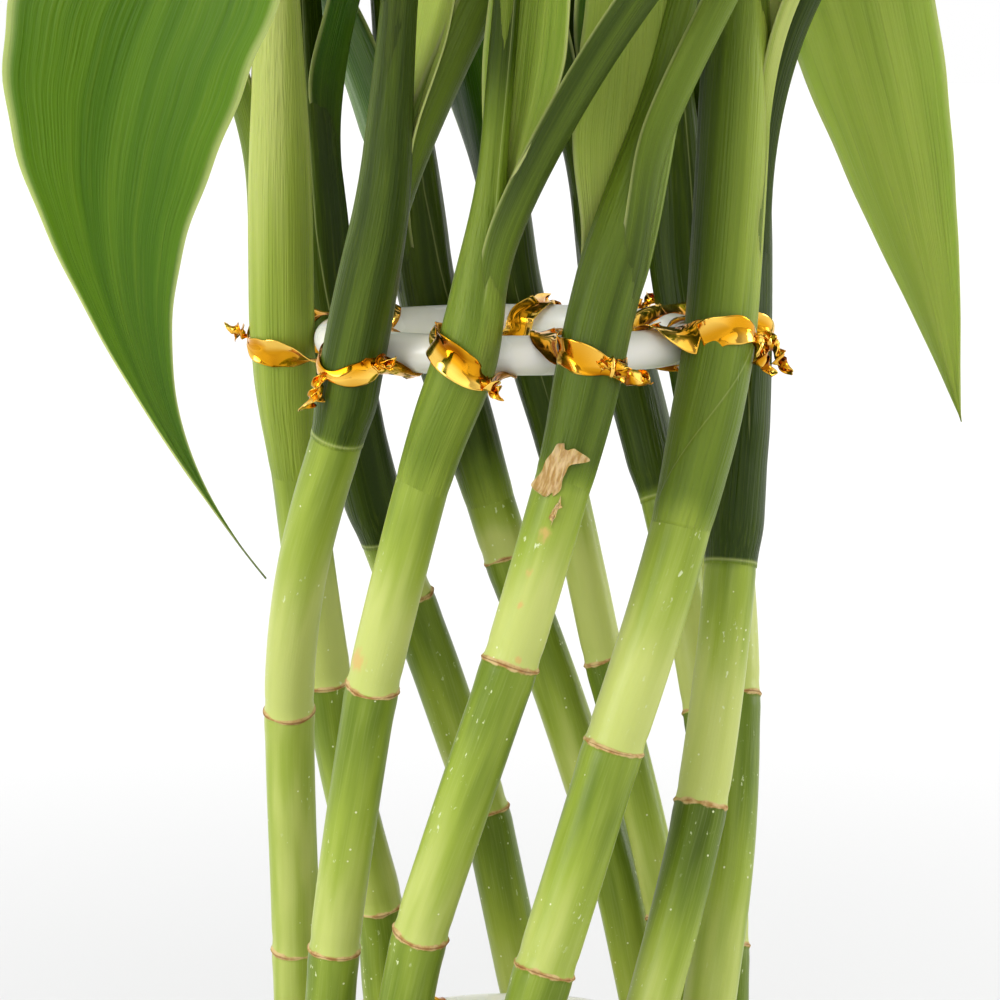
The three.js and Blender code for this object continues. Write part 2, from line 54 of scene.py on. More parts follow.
SHEATH_THICKNESS = 0.9
BEND_ROUNDING = 7
STEM_TIP_RADIUS = 2
LOWER_TIE_SLANT, LOWER_BAND = 3.5, 4.8

# One entry for each stalk, in order round the cage from the left. route holds (height, angle) where
# the stalk bends, and nodes the heights of its leaf scars. sheath is where the bare cane passes into
# the leafy shoot, over a length of fade. tone is how dark the shoot is at first and top above its leaf
# bases, to which it turns between the heights in turning. The side shade is painted shade: how much
# darker one of its sides is painted, and the angle of that side from outwards. low is how dark a lower
# internode gets under its leaf scar. slim is the stretch over which the shoot narrows as its leaves
# part from it, and the radius it comes down to. ribs is how deep its sheaths are furrowed, and lap is
# the free edge of the outer one: (height, angle) at both ends, the angle from outwards. slant, sag and
# band are how far the upper tie drops on each side, how high it stands in the middle, and its width.
# tails are its loose ends: the angle they start at and how far they reach to the right, outwards and
# up. stains are corky blotches: height, angle from outwards and size. scraps are papery patches:
# heights, angle from outwards and half their spread in degrees.
USUAL = dict(slim=(256, 330, 3.4), top=0.9, low=0.6, turning=(238, 290), side_shade=(0, 0), stains=(), scraps=(),
             slant=3, sag=0, band=5.0)
STALKS = [
    dict(USUAL, diameter=11.5, sheath=208, tip=352, nodes=(52, 104, 160),
         tone=0.36, top=0.14, low=0.55, fade=10, side_shade=(0.10, 170),
         slim=(262, 330, 4.0), lap=((236, 14), (310, 26)), ribs=0.05,
         band=5.4, tails=((0, (-0.6, 4.0, 1.4)),),
         route=((20, -164), (79, -143), (104, -141), (129, -131),
                (160, -121), (210, -106), (238, -92), (330, -84))),
    dict(USUAL, diameter=10.7, sheath=222, tip=344, nodes=(48, 104, 160),
         tone=0.84, top=0.88, low=0.22, fade=1.5,
         slim=(240, 314, 3.4), lap=((226, 150), (300, 200)), ribs=0.03,
         slant=1.5, sag=-3.5, band=4.0, tails=((-8, (-1.4, 2.2, -7.0)), (84, (4.0, 0.6, 0.6))),
         route=((20, -112), (79, -97), (120, -93), (160, -84),
                (190, -66), (224, -45), (270, -31), (330, -24))),
    dict(USUAL, diameter=10.7, sheath=213, tip=350, nodes=(60, 115, 172),
         tone=0.56, top=0.92, turning=(280, 300), low=0.55, fade=9, stains=((178, -18, 2.6),),
         slim=(237, 282, 2.5), lap=((246, 22), (300, 40)), ribs=0.03,
         slant=4.5, band=5.6, tails=((52, (2.6, 1.8, -2.8)),),
         route=((20, -72), (79, -57), (115, -51), (172, -36),
                (221, -19), (241, -9.5), (270, -5), (330, 1))),
    dict(USUAL, diameter=11.3, sheath=214, tip=354, nodes=(64, 122, 179),
         tone=0.80, top=0.64, low=0.55, fade=7,
         slim=(254, 300, 3.4), lap=((252, 64), (318, 50)), ribs=0.07,
         stains=((205, -20, 1.5), (197, -26, 1.0), (191, -22, 0.8), (181, 10, 0.9)),
         scraps=((212.5, 222, -30, 48), (207.5, 212, -12, 9)),
         slant=2.2, sag=-0.5, band=6.0, tails=((-2, (9.0, 0.6, -4.2)), (-8, (4.0, 2.4, -1.2))),
         route=((20, -50), (79, -34), (122, -23), (179, 0),
                (223, 15), (251, 22), (274, 31), (330, 54))),
    dict(USUAL, diameter=12.2, sheath=204, tip=350, nodes=(66, 116, 161),
         tone=0.64, top=0.61, low=0.52, fade=7, side_shade=(0.30, -160),
         slim=(288, 340, 3.6), lap=((205, -128), (243, 20)), ribs=0.03,
         sag=3.5, band=5.8, tails=((10, (0.9, 1.8, -7.5)), (16, (3.2, 1.2, -2.0))),
         route=((20, -20), (79, -4), (116, 8), (161, 25),
                (205, 45), (241, 60), (270, 65), (330, 74))),
    dict(USUAL, diameter=10.9, sheath=193, tip=346, nodes=(52, 98, 145), tone=0.96, low=0.75, fade=1.2,
         lap=((214, -60), (262, -96)), ribs=0.06,
         slant=4, band=5.2, tails=((4, (-1.5, 2.0, -6.5)),),
         route=((20, 12), (79, 28), (106, 38), (145, 56),
                (193, 73), (235, 86), (270, 92), (330, 101))),
    dict(USUAL, diameter=11.3, sheath=214, tip=336, nodes=(44, 94, 162), tone=0.95, fade=4,
         lap=((220, -140), (262, -100)), ribs=0.16, tails=((80, (3.0, 1.5, 2.0)),),
         route=((20, 35), (79, 53), (110, 65), (140, 81),
                (175, 96), (215, 115), (251, 130), (330, 139))),
    dict(USUAL, diameter=10.1, sheath=200, tip=348, nodes=(56, 106, 154), tone=0.92, low=0.7, fade=3,
         lap=((216, 170), (262, 140)), ribs=0.08, tails=((-84, (-3.0, 1.5, 2.0)),),
         route=((20, 60), (79, 79), (106, 90), (141, 108),
                (178, 125), (220, 143), (245, 153), (330, 165))),
    dict(USUAL, diameter=9.3, sheath=206, tip=334, nodes=(50, 104, 161), tone=0.86, top=0.8, fade=5,
         slim=(256, 325, 3.2), lap=((216, 200), (262, 170)), ribs=0.06,
         sag=1, tails=((-80, (-2.0, 2.5, -3.0)),),
         route=((20, 93), (79, 117), (100, 129), (161, 153),
                (213, 168), (246, 179), (290, 186), (330, 190))),
    dict(USUAL, diameter=11.3, sheath=196, tip=350, nodes=(66, 126, 184),
         tone=0.88, top=0.8, low=0.55, fade=16,
         lap=((222, 220), (268, 180)), ribs=0.06, band=5.4, tails=((86, (3.0, 1.5, 3.0)),),
         route=((20, 117), (79, 139), (110, 149), (155, 168),
                (184, 181), (220, 194), (246, 204), (330, 217))),
    dict(USUAL, diameter=11.5, sheath=190, tip=342, nodes=(70, 124, 176), tone=0.95, fade=1.2,
         lap=((214, 150), (262, 120)), ribs=0.10, tails=((-88, (-3.0, 1.5, 1.0)),),
         route=((20, 155), (79, 176), (124, 187), (163, 203),
                (198, 220), (247, 238), (290, 246), (330, 250))),
]

# The leaves that show lowest on each stalk. Each leaves it at height root towards the compass angle
# aim, climbing at rise[0] degrees and ending at rise[1]. It bends over between the shares of its
# length in bend. Its folded base is petiole across from midrib to edge, each side rolled in by fold
# radians, and widens into the blade between the shares in open. The blade keeps its full width until
# the share full, and point is how drawn out its tip is. turn swings the leaf sideways, mostly near
# the tip, and twist rolls the blade. tone is how dark it is, and inner how dark the inside of its
# folded base.
PLAIN_LEAF = dict(turn=0, twist=0, bend=(0, 1), open=(0.16, 0.5), petiole=4.2, fold=1.2, full=0.44,
                  point=1.7)
LOW_LEAVES = [
    [dict(root=252, aim=-88, turn=-6, rise=(70, 34), bend=(0.4, 1), open=(0.30, 0.62), length=150,
          width=28, twist=10, petiole=7.0, fold=2.0, tone=0.7)],
    [dict(root=240, aim=112, turn=-54, rise=(66, 60), open=(0.50, 0.80), length=132, width=26,
          twist=-15, petiole=11.0, fold=2.1, tone=0.74, inner=0.7),
     dict(root=262, aim=140, rise=(68, 76), open=(0.05, 0.34), length=124, width=16, tone=0.02),
     dict(root=301, aim=-45, turn=110, rise=(77, -45), bend=(0.07, 0.34), length=240, width=52,
          twist=-10, full=0.40, point=2.0, tone=0.74)],
    [dict(root=236, aim=78, turn=-62, rise=(66, 40), bend=(0.05, 0.8), open=(0.5, 0.8), length=182,
          width=28, twist=10, petiole=7.4, fold=2.0, tone=0.84),
     dict(root=249, aim=96, turn=-30, rise=(66, 84), bend=(0, 0.4), open=(0.05, 0.4), length=130,
          width=19, twist=56, tone=0.22)],
    [dict(root=246, aim=158, turn=4, rise=(78, 74), open=(0.02, 0.28), length=136, width=20,
          twist=30, tone=0.05),
     dict(root=254, aim=80, turn=-16, rise=(65, 56), open=(0.5, 0.8), length=170, width=30,
          petiole=7.6, fold=2.0, tone=0.58)],
    [dict(root=258, aim=112, turn=-22, rise=(78, 30), open=(0.4, 0.7), length=140, width=30,
          twist=-10, petiole=6.0, fold=1.8, tone=0.14)],
    [dict(root=240, aim=94, turn=4, rise=(78, 16), bend=(0.22, 0.9), open=(0.45, 0.75), length=166,
          width=30, twist=20, petiole=8.4, fold=1.9, tone=0.92)],
    [dict(root=254, aim=138, turn=12, rise=(76, 10), length=150, width=30, twist=8, tone=0.8),
     # painted light: this long leaf hanging to the right is painted pale, tone 0.10, for the glow of a leaf
     # lit from behind
     dict(root=313, aim=92, turn=-30, rise=(85, -74), bend=(0.15, 0.38), length=220, width=38,
          twist=-74, point=1.1, tone=0.10)],
    [dict(root=248, aim=-68, turn=-10, rise=(69, 72), open=(0.3, 0.6), length=130, width=24, twist=8,
          petiole=8.0, fold=2.0, tone=0.92),
     dict(root=270, aim=60, rise=(78, 50), open=(0.05, 0.4), length=126, width=30, twist=-8, tone=0.8)],
    [dict(root=246, aim=-37, turn=-10, rise=(69, 73), open=(0.05, 0.4), length=130, width=24,
          twist=-8, tone=0.92)],
    [dict(root=246, aim=-84, turn=-10, rise=(70, 64), open=(0.02, 0.3), length=130, width=26,
          twist=20, petiole=6.0, tone=0.80)],
    [dict(root=258, aim=-120, turn=-4, rise=(78, 14), length=150, width=30, twist=6, tone=0.8),
     dict(root=258, aim=62, turn=-10, rise=(76, 66), open=(0.12, 0.4), length=124, width=26,
          twist=20, tone=0.86)],
]
CROWN_LEAVES = 4


# ---------------------------------------------------------------- sums on arrays


def smoothstep(x, low, high):
    """0 below low, 1 above high, and the cubic 3t^2 - 2t^3 between them."""
    t = np.clip((np.asarray(x, float) - low) / (high - low), 0, 1)
    return t * t * (3 - 2 * t)


def mix(a, b, share):
    return a + (b - a) * share


def bell(x, width):
    """A bell curve: 1 where x is 0, and about a third at a distance of width."""
    return np.exp(-((x / width) ** 2))


def once_round(count):
    """Angles evenly spaced once round, in radians."""
    return np.linspace(0, 2 * math.pi, count, endpoint=False)


def unit(v):
    return v / np.linalg.norm(v, axis=-1, keepdims=True)


def without(v, along):
    """What is left of v across the unit direction along, at unit length."""
    return unit(v - (v * along).sum(-1, keepdims=True) * along)


def wobble(seed, *where, waves=5, spread=1.0):
    """Gentle seeded noise of about -1 to 1: sines of the coordinates with drawn frequencies and phases."""
    draw = np.random.default_rng(seed)
    total = 0.0
    for _ in range(waves):
        pace = draw.normal(size=len(where)) * spread
        total = total + np.sin(sum(p * w for p, w in zip(pace, where)) + draw.uniform(0, 2 * math.pi))
    return total / math.sqrt(waves)


def travelled(points):
    """How far along their line each of the points is."""
    return np.concatenate([[0], np.cumsum(np.linalg.norm(np.diff(points, axis=0), axis=1))])


def along_line(at, far, points):
    """The places at the distances at, on a line whose points are at the distances far."""
    return np.stack([np.interp(at, far, points[:, k]) for k in range(3)], -1)


def scatter(n):
    """Repeatable scatter between -1 and 1 for the nth draw."""
    value = math.sin(n * 12.9898 + 4.1414) * 43758.5453
    return 2 * (value - math.floor(value)) - 1


# ---------------------------------------------------------------- meshes from grids of points


def tube(points, loop=False, **marks):
    """A closed form from a grid of points in mm. Columns go anticlockwise round each row, seen from its far
    end, and join up. loop joins the last row to the first; otherwise each end is closed by a ladder of
    faces between column k and the column opposite. marks are values at the points for the material."""
    return points, loop, marks


def ladder(first, columns):
    k = np.arange(columns // 2 - 1)
    return first + np.stack([k, k + 1, columns - 2 - k, columns - 1 - k], 1)


def faces_of(rows, columns, loop):
    i = np.arange(rows if loop else rows - 1)[:, None]
    j = np.arange(columns)[None, :]
    above, beside = (i + 1) % rows, (j + 1) % columns
    low, high = i * columns, above * columns
    quads = np.stack([low + j, low + beside, high + beside, high + j], -1).reshape(-1, 4)
    if loop:
        return quads
    return np.concatenate([quads, ladder(0, columns)[:, ::-1], ladder((rows - 1) * columns, columns)])


def piece(name, grids, material, nodes=(), flat=False):
    """One object from any number of grids, which rides on the body and stands for the CAD nodes named."""
    points, quads, marks, start = [], [], {}, 0
    names = sorted({k for _, _, m in grids for k in m})
    for grid, loop, given in grids:
        rows, columns = grid.shape[:2]
        points.append(grid.reshape(-1, 3))
        quads.append(faces_of(rows, columns, loop) + start)
        for key in names:
            value = np.asarray(given.get(key, 0.0), float)
            wide = (rows, columns, 3) if key == "grain" else (rows, columns)
            marks.setdefault(key, []).append(np.broadcast_to(value, wide).reshape(rows * columns, -1))
        start += rows * columns
    points, quads = np.concatenate(points) * MM, np.concatenate(quads)
    mesh = bpy.data.meshes.new(name)
    mesh.vertices.add(len(points))
    mesh.vertices.foreach_set("co", points.astype(np.float32).ravel())
    mesh.loops.add(quads.size)
    mesh.loops.foreach_set("vertex_index", quads.astype(np.int32).ravel())
    mesh.polygons.add(len(quads))
    mesh.polygons.foreach_set("loop_start", np.arange(0, quads.size, 4, dtype=np.int32))
    mesh.polygons.foreach_set("use_smooth", np.full(len(quads), not flat))
    mesh.update(calc_edges=True)
    for key, values in marks.items():
        values = np.concatenate(values).astype(np.float32)
        vector = key == "grain"
        attribute = mesh.attributes.new(key, "FLOAT_VECTOR" if vector else "FLOAT", "POINT")
        attribute.data.foreach_set("vector" if vector else "value", values.ravel())
    mesh.validate()
    mesh.materials.append(material)
    made = bpy.data.objects.new(name, mesh)
    bpy.context.scene.collection.objects.link(made)
    if nodes:
        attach(made, "root")
        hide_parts(*nodes)
    return made


def there_and_back(over, under):
    """The closed rows of a thin sheet: across one face of it and back across the other."""
    return np.concatenate([over, under[:, ::-1]], 1)


def swept(centres, outs, sides, radii, turn=None):
    """Rings round a line: centre + radius (cos a out + sin a side). The angles a are evenly spaced all
    the way round unless turn gives them."""
    if turn is None:
        turn = once_round(radii.shape[1])[None, :]
    turn = turn[..., None]
    ring = np.cos(turn) * outs[:, None] + np.sin(turn) * sides[:, None]
    return centres[:, None] + ring * radii[..., None]


# ---------------------------------------------------------------- the line of each stalk


def compass(angle):
    """Level unit vectors towards angles round the cage, in degrees."""
    turn = np.radians(angle)
    return np.stack([np.sin(turn), -np.cos(turn), np.zeros_like(turn)], -1)


def stalk_angle(stalk, height):
    """The angle on the route, averaged over a short height so that each bend is rounded."""
    heights, angles = np.array(stalk["route"], float).T
    near = [np.interp(height + share * BEND_ROUNDING, heights, angles) for share in (-1, -0.5, 0, 0.5, 1)]
    return np.mean(near, 0)


def stalk_centre(stalk, height):
    """The stalk leans against the outside of both rings, so its centre stands off by its radius."""
    height = np.asarray(height, float)
    climb = smoothstep(height, LOWER_RING_HEIGHT, UPPER_RING_HEIGHT)
    radius = stalk["diameter"] / 2 + SHEATH_THICKNESS * climb
    away = RING_RADIUS + RING_TUBE_RADIUS + CLEARANCE + radius
    centre = compass(stalk_angle(stalk, height)) * away[..., None]
    centre[..., 2] = height
    return centre


def stalk_frame(stalk, height):
    """Centre, direction along, direction outwards and direction sideways of the stalk at each height."""
    height = np.asarray(height, float)
    centre = stalk_centre(stalk, height)
    along = unit(stalk_centre(stalk, height + 1) - stalk_centre(stalk, height - 1))
    out = without(centre * [1, 1, 0], along)
    return centre, along, out, np.cross(along, out)


def stem_radius(stalk, height):
    """The sheathed stem: full width at first, slimmer where its leaves have parted from it, then a
    smooth taper to its tip."""
    start, end, slim = stalk["slim"]
    full = stalk["diameter"] / 2 + SHEATH_THICKNESS
    radius = mix(full, slim, smoothstep(height, start, end))
    return mix(radius, STEM_TIP_RADIUS, smoothstep(height, end, stalk["tip"]))


# ---------------------------------------------------------------- canes

CANE_COLUMNS = 48
CANE_FULLNESS = 0.985               # the plain radius, which leaves room for the scars to stand out
SCAR_FLANGE, SCAR_SHOULDER, SCAR_NECK = 0.07, 0.026, 0.024      # shares of the radius
CANE_TOP_TONE, LOW_TONE = 0.42, 0.17
PLAIN_STEP, NODE_STEP, NODE_REACH = 1.6, 0.22, 5.0
FIRST_INTERNODE = 34                # mm of the lowest internode that are below the cane's foot
SHEATH_PROUD = 0.05                 # a sheath's edge stands this proud of the cane
SOFT_FADE = 4.5                     # sheaths that fade in over more than this show no edge
SOFT_DEPTH, SOFT_REACH = 0.17, 4    # they start this far down and come out over this height
SOFT_SWELL, SHARP_SWELL = 24, 9     # the height over which the sheaths thicken the stem
PATTERN_SHIFT = 40                  # mm between the patterns of one stalk and the next


def soft_start(stalk):
    """Whether the sheaths start softly, with no edge to be seen."""
    return stalk["fade"] > SOFT_FADE


def skin_radius(stalk, height):
    """The radius of the shoot. It starts as the cane's, a little under its surface where the start is
    soft, and grows to that of the stem in its sheaths."""
    start = stalk["sheath"]
    soft = soft_start(stalk)
    depth = SOFT_DEPTH * soft * (1 - smoothstep(height, start, start + SOFT_REACH))
    bare = stalk["diameter"] / 2 + SHEATH_PROUD - depth
    end = start + (SOFT_SWELL if soft else SHARP_SWELL)
    return mix(bare, stem_radius(stalk, height), smoothstep(height, start, end))


def wrapped(radius, turn, z, seed):
    """Coordinates in mm for the patterns on a stalk: round it and along it, shifted for each stalk."""
    across = radius * np.cos(turn) + PATTERN_SHIFT * seed
    return np.stack(np.broadcast_arrays(across, radius * np.sin(turn), z), -1)


def shoot_tone(stalk, seed, z, turn):
    """How dark the shoot is: the cane's top tone, then darker over the fade, and lighter or darker again
    above the leaf bases, with painted shade on one side."""
    line = stalk["sheath"] + 0.1 * stalk["fade"] * wobble(seed, 2 * np.cos(turn), 2 * np.sin(turn))
    darker = smoothstep(z, line - 0.6, line + stalk["fade"])
    settled = mix(stalk["tone"], stalk["top"], smoothstep(z, *stalk["turning"]))
    # painted shade: one side of the shoot is painted darker, by the side shade's amount and towards its
    # angle, coming in between the heights 222 and 262
    more, facing = stalk["side_shade"]
    settled = settled + more * np.cos(turn - math.radians(facing)) * smoothstep(z, 222, 262)
    return mix(CANE_TOP_TONE, settled, darker)


def cane_heights(stalk):
    """Heights of the rows: close together at each leaf scar and wide apart between."""
    top = stalk["sheath"] + (5 if soft_start(stalk) else 1.2)
    near = [np.arange(n - NODE_REACH / 2, n + NODE_REACH, NODE_STEP) for n in stalk["nodes"]]
    heights = np.concatenate([np.arange(CANE_FOOT, top, PLAIN_STEP), *near, [top]])
    heights = np.unique(np.round(heights, 2))
    return heights[np.concatenate([[True], np.diff(heights) > NODE_STEP * 0.6])]


def cane(stalk, seed):
    """A tube along the stalk. At each leaf scar the radius gains a thin flange (a narrow bell curve of
    uneven height round the cane), a shoulder below it and a neck above it."""
    height = cane_heights(stalk)
    centre, _, out, side = stalk_frame(stalk, height)
    turn = once_round(CANE_COLUMNS)[None, :]
    z = height[:, None]
    full = stalk["diameter"] / 2
    share = np.full((len(height), CANE_COLUMNS), CANE_FULLNESS)
    share += 0.010 * np.cos(2 * turn + seed) + 0.006 * wobble(seed, z / 14, np.cos(turn), np.sin(turn))
    scar = np.zeros_like(share)
    for k, node in enumerate(stalk["nodes"]):
        ragged = wobble(seed + k, np.cos(turn), np.sin(turn), spread=1.5)
        frayed = wobble(seed + 9 * k, 3 * np.cos(turn), 3 * np.sin(turn), spread=2.0)
        off = z - node - 0.45 * ragged
        share += SCAR_FLANGE * (1 + 0.3 * frayed) * bell(off, 0.42)
        share += SCAR_SHOULDER * bell(off + 2.6, 2.6) - SCAR_NECK * bell(off - 2.4, 1.5)
        scar += bell(off - 0.1, 0.62 + 0.22 * frayed)
    if not soft_start(stalk):
        share = share - 0.02 * smoothstep(z, stalk["sheath"] - 0.8, stalk["sheath"] + 0.2)
    ends = np.array([CANE_FOOT - FIRST_INTERNODE, *stalk["nodes"], stalk["sheath"]], float)
    here = np.clip(np.searchsorted(ends, height) - 1, 0, len(ends) - 2)
    climb = np.clip((height - ends[here]) / (ends[here + 1] - ends[here]), 0, 1)
    lower = mix(LOW_TONE, stalk["low"], smoothstep(climb, 0.08, 0.9))
    topmost = CANE_TOP_TONE * smoothstep(climb, 0.2, 1.0)
    tone = np.where(here == len(ends) - 2, topmost, lower)[:, None]
    tone = np.where(z > stalk["sheath"] - 1, shoot_tone(stalk, seed, z, turn), tone)
    stain = np.zeros_like(share)
    for where, angle, size in stalk["stains"]:
        apart = (turn - math.radians(angle) + math.pi) % (2 * math.pi) - math.pi
        stain += np.exp(-(((z - where) / size) ** 2) - (full * apart / size) ** 2)
    return tube(swept(centre, out, side, full * share), tone=tone, edge=np.clip(scar, 0, 1),
                dry=np.clip(stain, 0, 1), grain=wrapped(full, turn, z, seed))


# ---------------------------------------------------------------- leafy shoots

STEM_COLUMNS = 96
FINE_BELOW = 262                    # the rows of a stem are closer together below this height
LEAF_COLUMNS = 17
LEAF_STEP = 1.7
SUNK = 18.0                         # a leaf's base starts this far below its root, inside the stem
SUNK_DEPTH = 0.75                   # and this deep
SUNK_WRAP = 1.4                     # how far each side of it reaches round the stem, in radians
SKIN_GAP = 0.12                     # where it comes out, the base lies this far under the stem's skin
PARTING = 32.0                      # the mm over which a leaf turns from the stem's line to its own
PARTING_LEAD = 10.0                 # it has begun to turn this many mm below its root
LINE_STEPS = 240
LINE_ROUNDING = (-9, -6, -3, 0, 3, 6, 9)
BLADE_WRAP = 0.30
BLADE_CREASE = 0.10                 # the blade's halves stand up from the midrib by this slope
LEAF_THICKNESS, EDGE_THINNING, BASE_THICKENING = 0.55, 0.30, 0.5
TIP_HALF_WIDTH = 0.12
VEIN_SPAN = 14.0                    # the pattern of veins is this many mm across half a leaf
SCRAP_SHEET = 0.16
LAP_RISE, LAP_GROOVE = 0.5, 0.35    # a sheath's free edge stands up, with a groove beside it


def crown_leaves(stalk, index):
    """The upper leaves of one shoot, alternately swung to either side of straight outwards, each one
    higher, shorter and more upright than the last."""
    outwards = float(np.interp(stalk["tip"], *np.array(stalk["route"], float).T))
    made = []
    for k in range(CROWN_LEAVES):
        draw, share, side = index * 20 + k * 5, k / (CROWN_LEAVES - 1), 1 if k % 2 == 0 else -1
        made.append(dict(
            root=stalk["tip"] - 42 + 38 * share,
            aim=outwards + side * (8 + 3 * scatter(draw)),
            turn=side * 6 * scatter(draw + 1),
            rise=(70 + 12 * share, -12 + 74 * share + 12 * scatter(draw + 2)),
            length=152 - 36 * share + 10 * scatter(draw + 3),
            width=31 - 8 * share,
            twist=12 * scatter(draw + 4),
            tone=0.68 - 0.22 * share + 0.08 * scatter(draw + 6),
        ))
    return made


def leaf_opening(leaf, share):
    return smoothstep(share, *leaf["open"])


def leaf_half_width(leaf, share):
    """A narrow folded base, then a spear shape. Past the share full it tapers as (1 - t)^p (1 + p t),
    which leaves the full width smoothly and draws the tip out the more, the higher p is."""
    full, p = leaf["full"], leaf["point"]
    t = np.clip((share - full) / (1 - full), 0, 1)
    blade = np.maximum(leaf["width"] / 2 * (1 - t) ** p * (1 + p * t), TIP_HALF_WIDTH)
    return mix(leaf["petiole"], blade, leaf_opening(leaf, share))


def leaf_heading(leaf, share):
    """Unit direction of the midrib at a share of the leaf, and the compass angle it heads for."""
    first, last = leaf["rise"]
    climb = np.radians(mix(first, last, smoothstep(share, *leaf["bend"])))[:, None]
    heading = leaf["aim"] + leaf["turn"] * share**2
    return compass(heading) * np.cos(climb) + [0, 0, 1] * np.sin(climb), heading


def leaf_line(stalk, leaf, place):
    """Points on the leaf's line: below the root it follows the stem, and above it the headings are added
    up in small steps, turning from the stem's direction to the leaf's own. The line is averaged along
    its length, which rounds what corner is left at the root."""
    length = leaf["length"]
    fine = np.linspace(0, length, LINE_STEPS + 1)
    middle = (fine[1:] + fine[:-1]) / 2 / length
    root = stalk_centre(stalk, leaf["root"])
    along = unit(stalk_centre(stalk, leaf["root"] + 2.0) - stalk_centre(stalk, leaf["root"] - 2.0))
    own = smoothstep(middle * length, -PARTING_LEAD, PARTING)[:, None]
    heading = unit(mix(along, leaf_heading(leaf, middle)[0], own))
    path = np.concatenate([[root], root + np.cumsum(heading, 0) * length / LINE_STEPS])
    total = 0
    for shift in LINE_ROUNDING:
        at = np.minimum(place + shift * smoothstep(length - place, 0, 12), length)
        on_stem = stalk_centre(stalk, leaf["root"] + at)
        total = total + np.where(at[:, None] < 0, on_stem, along_line(at, fine, path))
    return total / len(LINE_ROUNDING)


def leaf_sheet(stalk, leaf, seed):
    """One leaf as a thin closed sheet. Each row is an arc of a circle: in the folded base it is a deep
    channel, and in the blade it is nearly flat, with a crease at the midrib and slow waves near the
    edges. The row's arc length is the leaf's width there. The base starts as a half pipe round the
    stem, sunk in its skin, which comes to the surface in the middle first and at its edges last. The
    distance of the leaf's line from the stem's middle is the cube root of the sum of cubes of the
    stem's radius and of the distance that the line itself has reached, so it leaves the stem at a
    slant. The sheet is thinner towards its edges by the square of the share across."""
    length, tone = leaf["length"], leaf["tone"]
    place = np.concatenate([np.linspace(-SUNK, 0, 12)[:-1], np.linspace(0, length, int(length / LEAF_STEP))])
    share = np.clip(place / length, 0, 1)
    opening, parted = leaf_opening(leaf, share), smoothstep(place, 0, PARTING)
    line = leaf_line(stalk, leaf, place)
    along = unit(np.gradient(line, place, axis=0))
    across = without(compass(leaf_heading(leaf, share)[1] + 90), along)
    roll = np.radians(leaf["twist"] * opening)[:, None]
    across = across * np.cos(roll) + np.cross(along, across) * np.sin(roll)
    inner = np.cross(along, across)
    skin = skin_radius(stalk, line[:, 2]) - SKIN_GAP
    reached = np.linalg.norm(line - stalk_centre(stalk, line[:, 2]), axis=1)
    line = line - inner * ((skin**3 + reached**3) ** (1 / 3) - reached)[:, None]

    half = mix(SUNK_WRAP * skin, leaf_half_width(leaf, share), parted)
    wrap = mix(mix(SUNK_WRAP, leaf["fold"], parted), BLADE_WRAP, opening)
    u = np.linspace(-1, 1, LEAF_COLUMNS)[None, :]
    bend = wrap[:, None] * u
    radius = (half / wrap)[:, None]
    wide, opened, s = half[:, None], opening[:, None], place[:, None]
    sunk = SUNK_DEPTH * (1 - smoothstep(s - 20 * np.abs(u), -SUNK, 2 - 0.4 * SUNK))
    lift = radius - (radius - sunk) * np.cos(bend) + BLADE_CREASE * wide * np.abs(u) * opened
    lift = lift + opened * wide * 0.05 * np.abs(u) ** 1.5 * wobble(seed, s / 15, 1.2 * u, spread=0.8)
    lift = lift + opened * 0.16 * np.cos(9.5 * u + seed) * (1 - u**2)
    ragged = 1 + 0.012 * wobble(seed + 3, s / 5, spread=1.2)
    sheet = line[:, None] + ((radius - sunk) * np.sin(bend) * ragged)[..., None] * across[:, None]
    sheet = sheet + lift[..., None] * inner[:, None]
    face = unit(np.cross(np.gradient(sheet, place, axis=0), np.gradient(sheet, axis=1)))
    thick = LEAF_THICKNESS - EDGE_THINNING * u**2 + BASE_THICKENING * (1 - opened) * parted[:, None]
    offset = face * (thick * np.minimum(1, wide / 1.5))[..., None] / 2

    # painted highlight: a pale rim about 0.7 mm wide painted along each leaf's edges
    painted_rim = smoothstep(np.abs(u), 1 - 0.7 / np.maximum(wide, 1), 1)
    outer_tone = mix(mix(stalk["tone"], tone, smoothstep(place, 4, 46)), tone, opening)
    inner_tone = mix(leaf.get("inner", 0.6 * tone), tone, opening)
    shade = [np.tile(side[:, None], LEAF_COLUMNS) for side in (outer_tone, inner_tone)]
    vein = there_and_back(u * VEIN_SPAN, u * VEIN_SPAN)
    return tube(there_and_back(sheet - offset, sheet + offset), tone=there_and_back(*shade),
                edge=there_and_back(painted_rim, painted_rim), blade=opened,
                grain=np.stack(np.broadcast_arrays(vein, 31.0 * seed, s), -1))


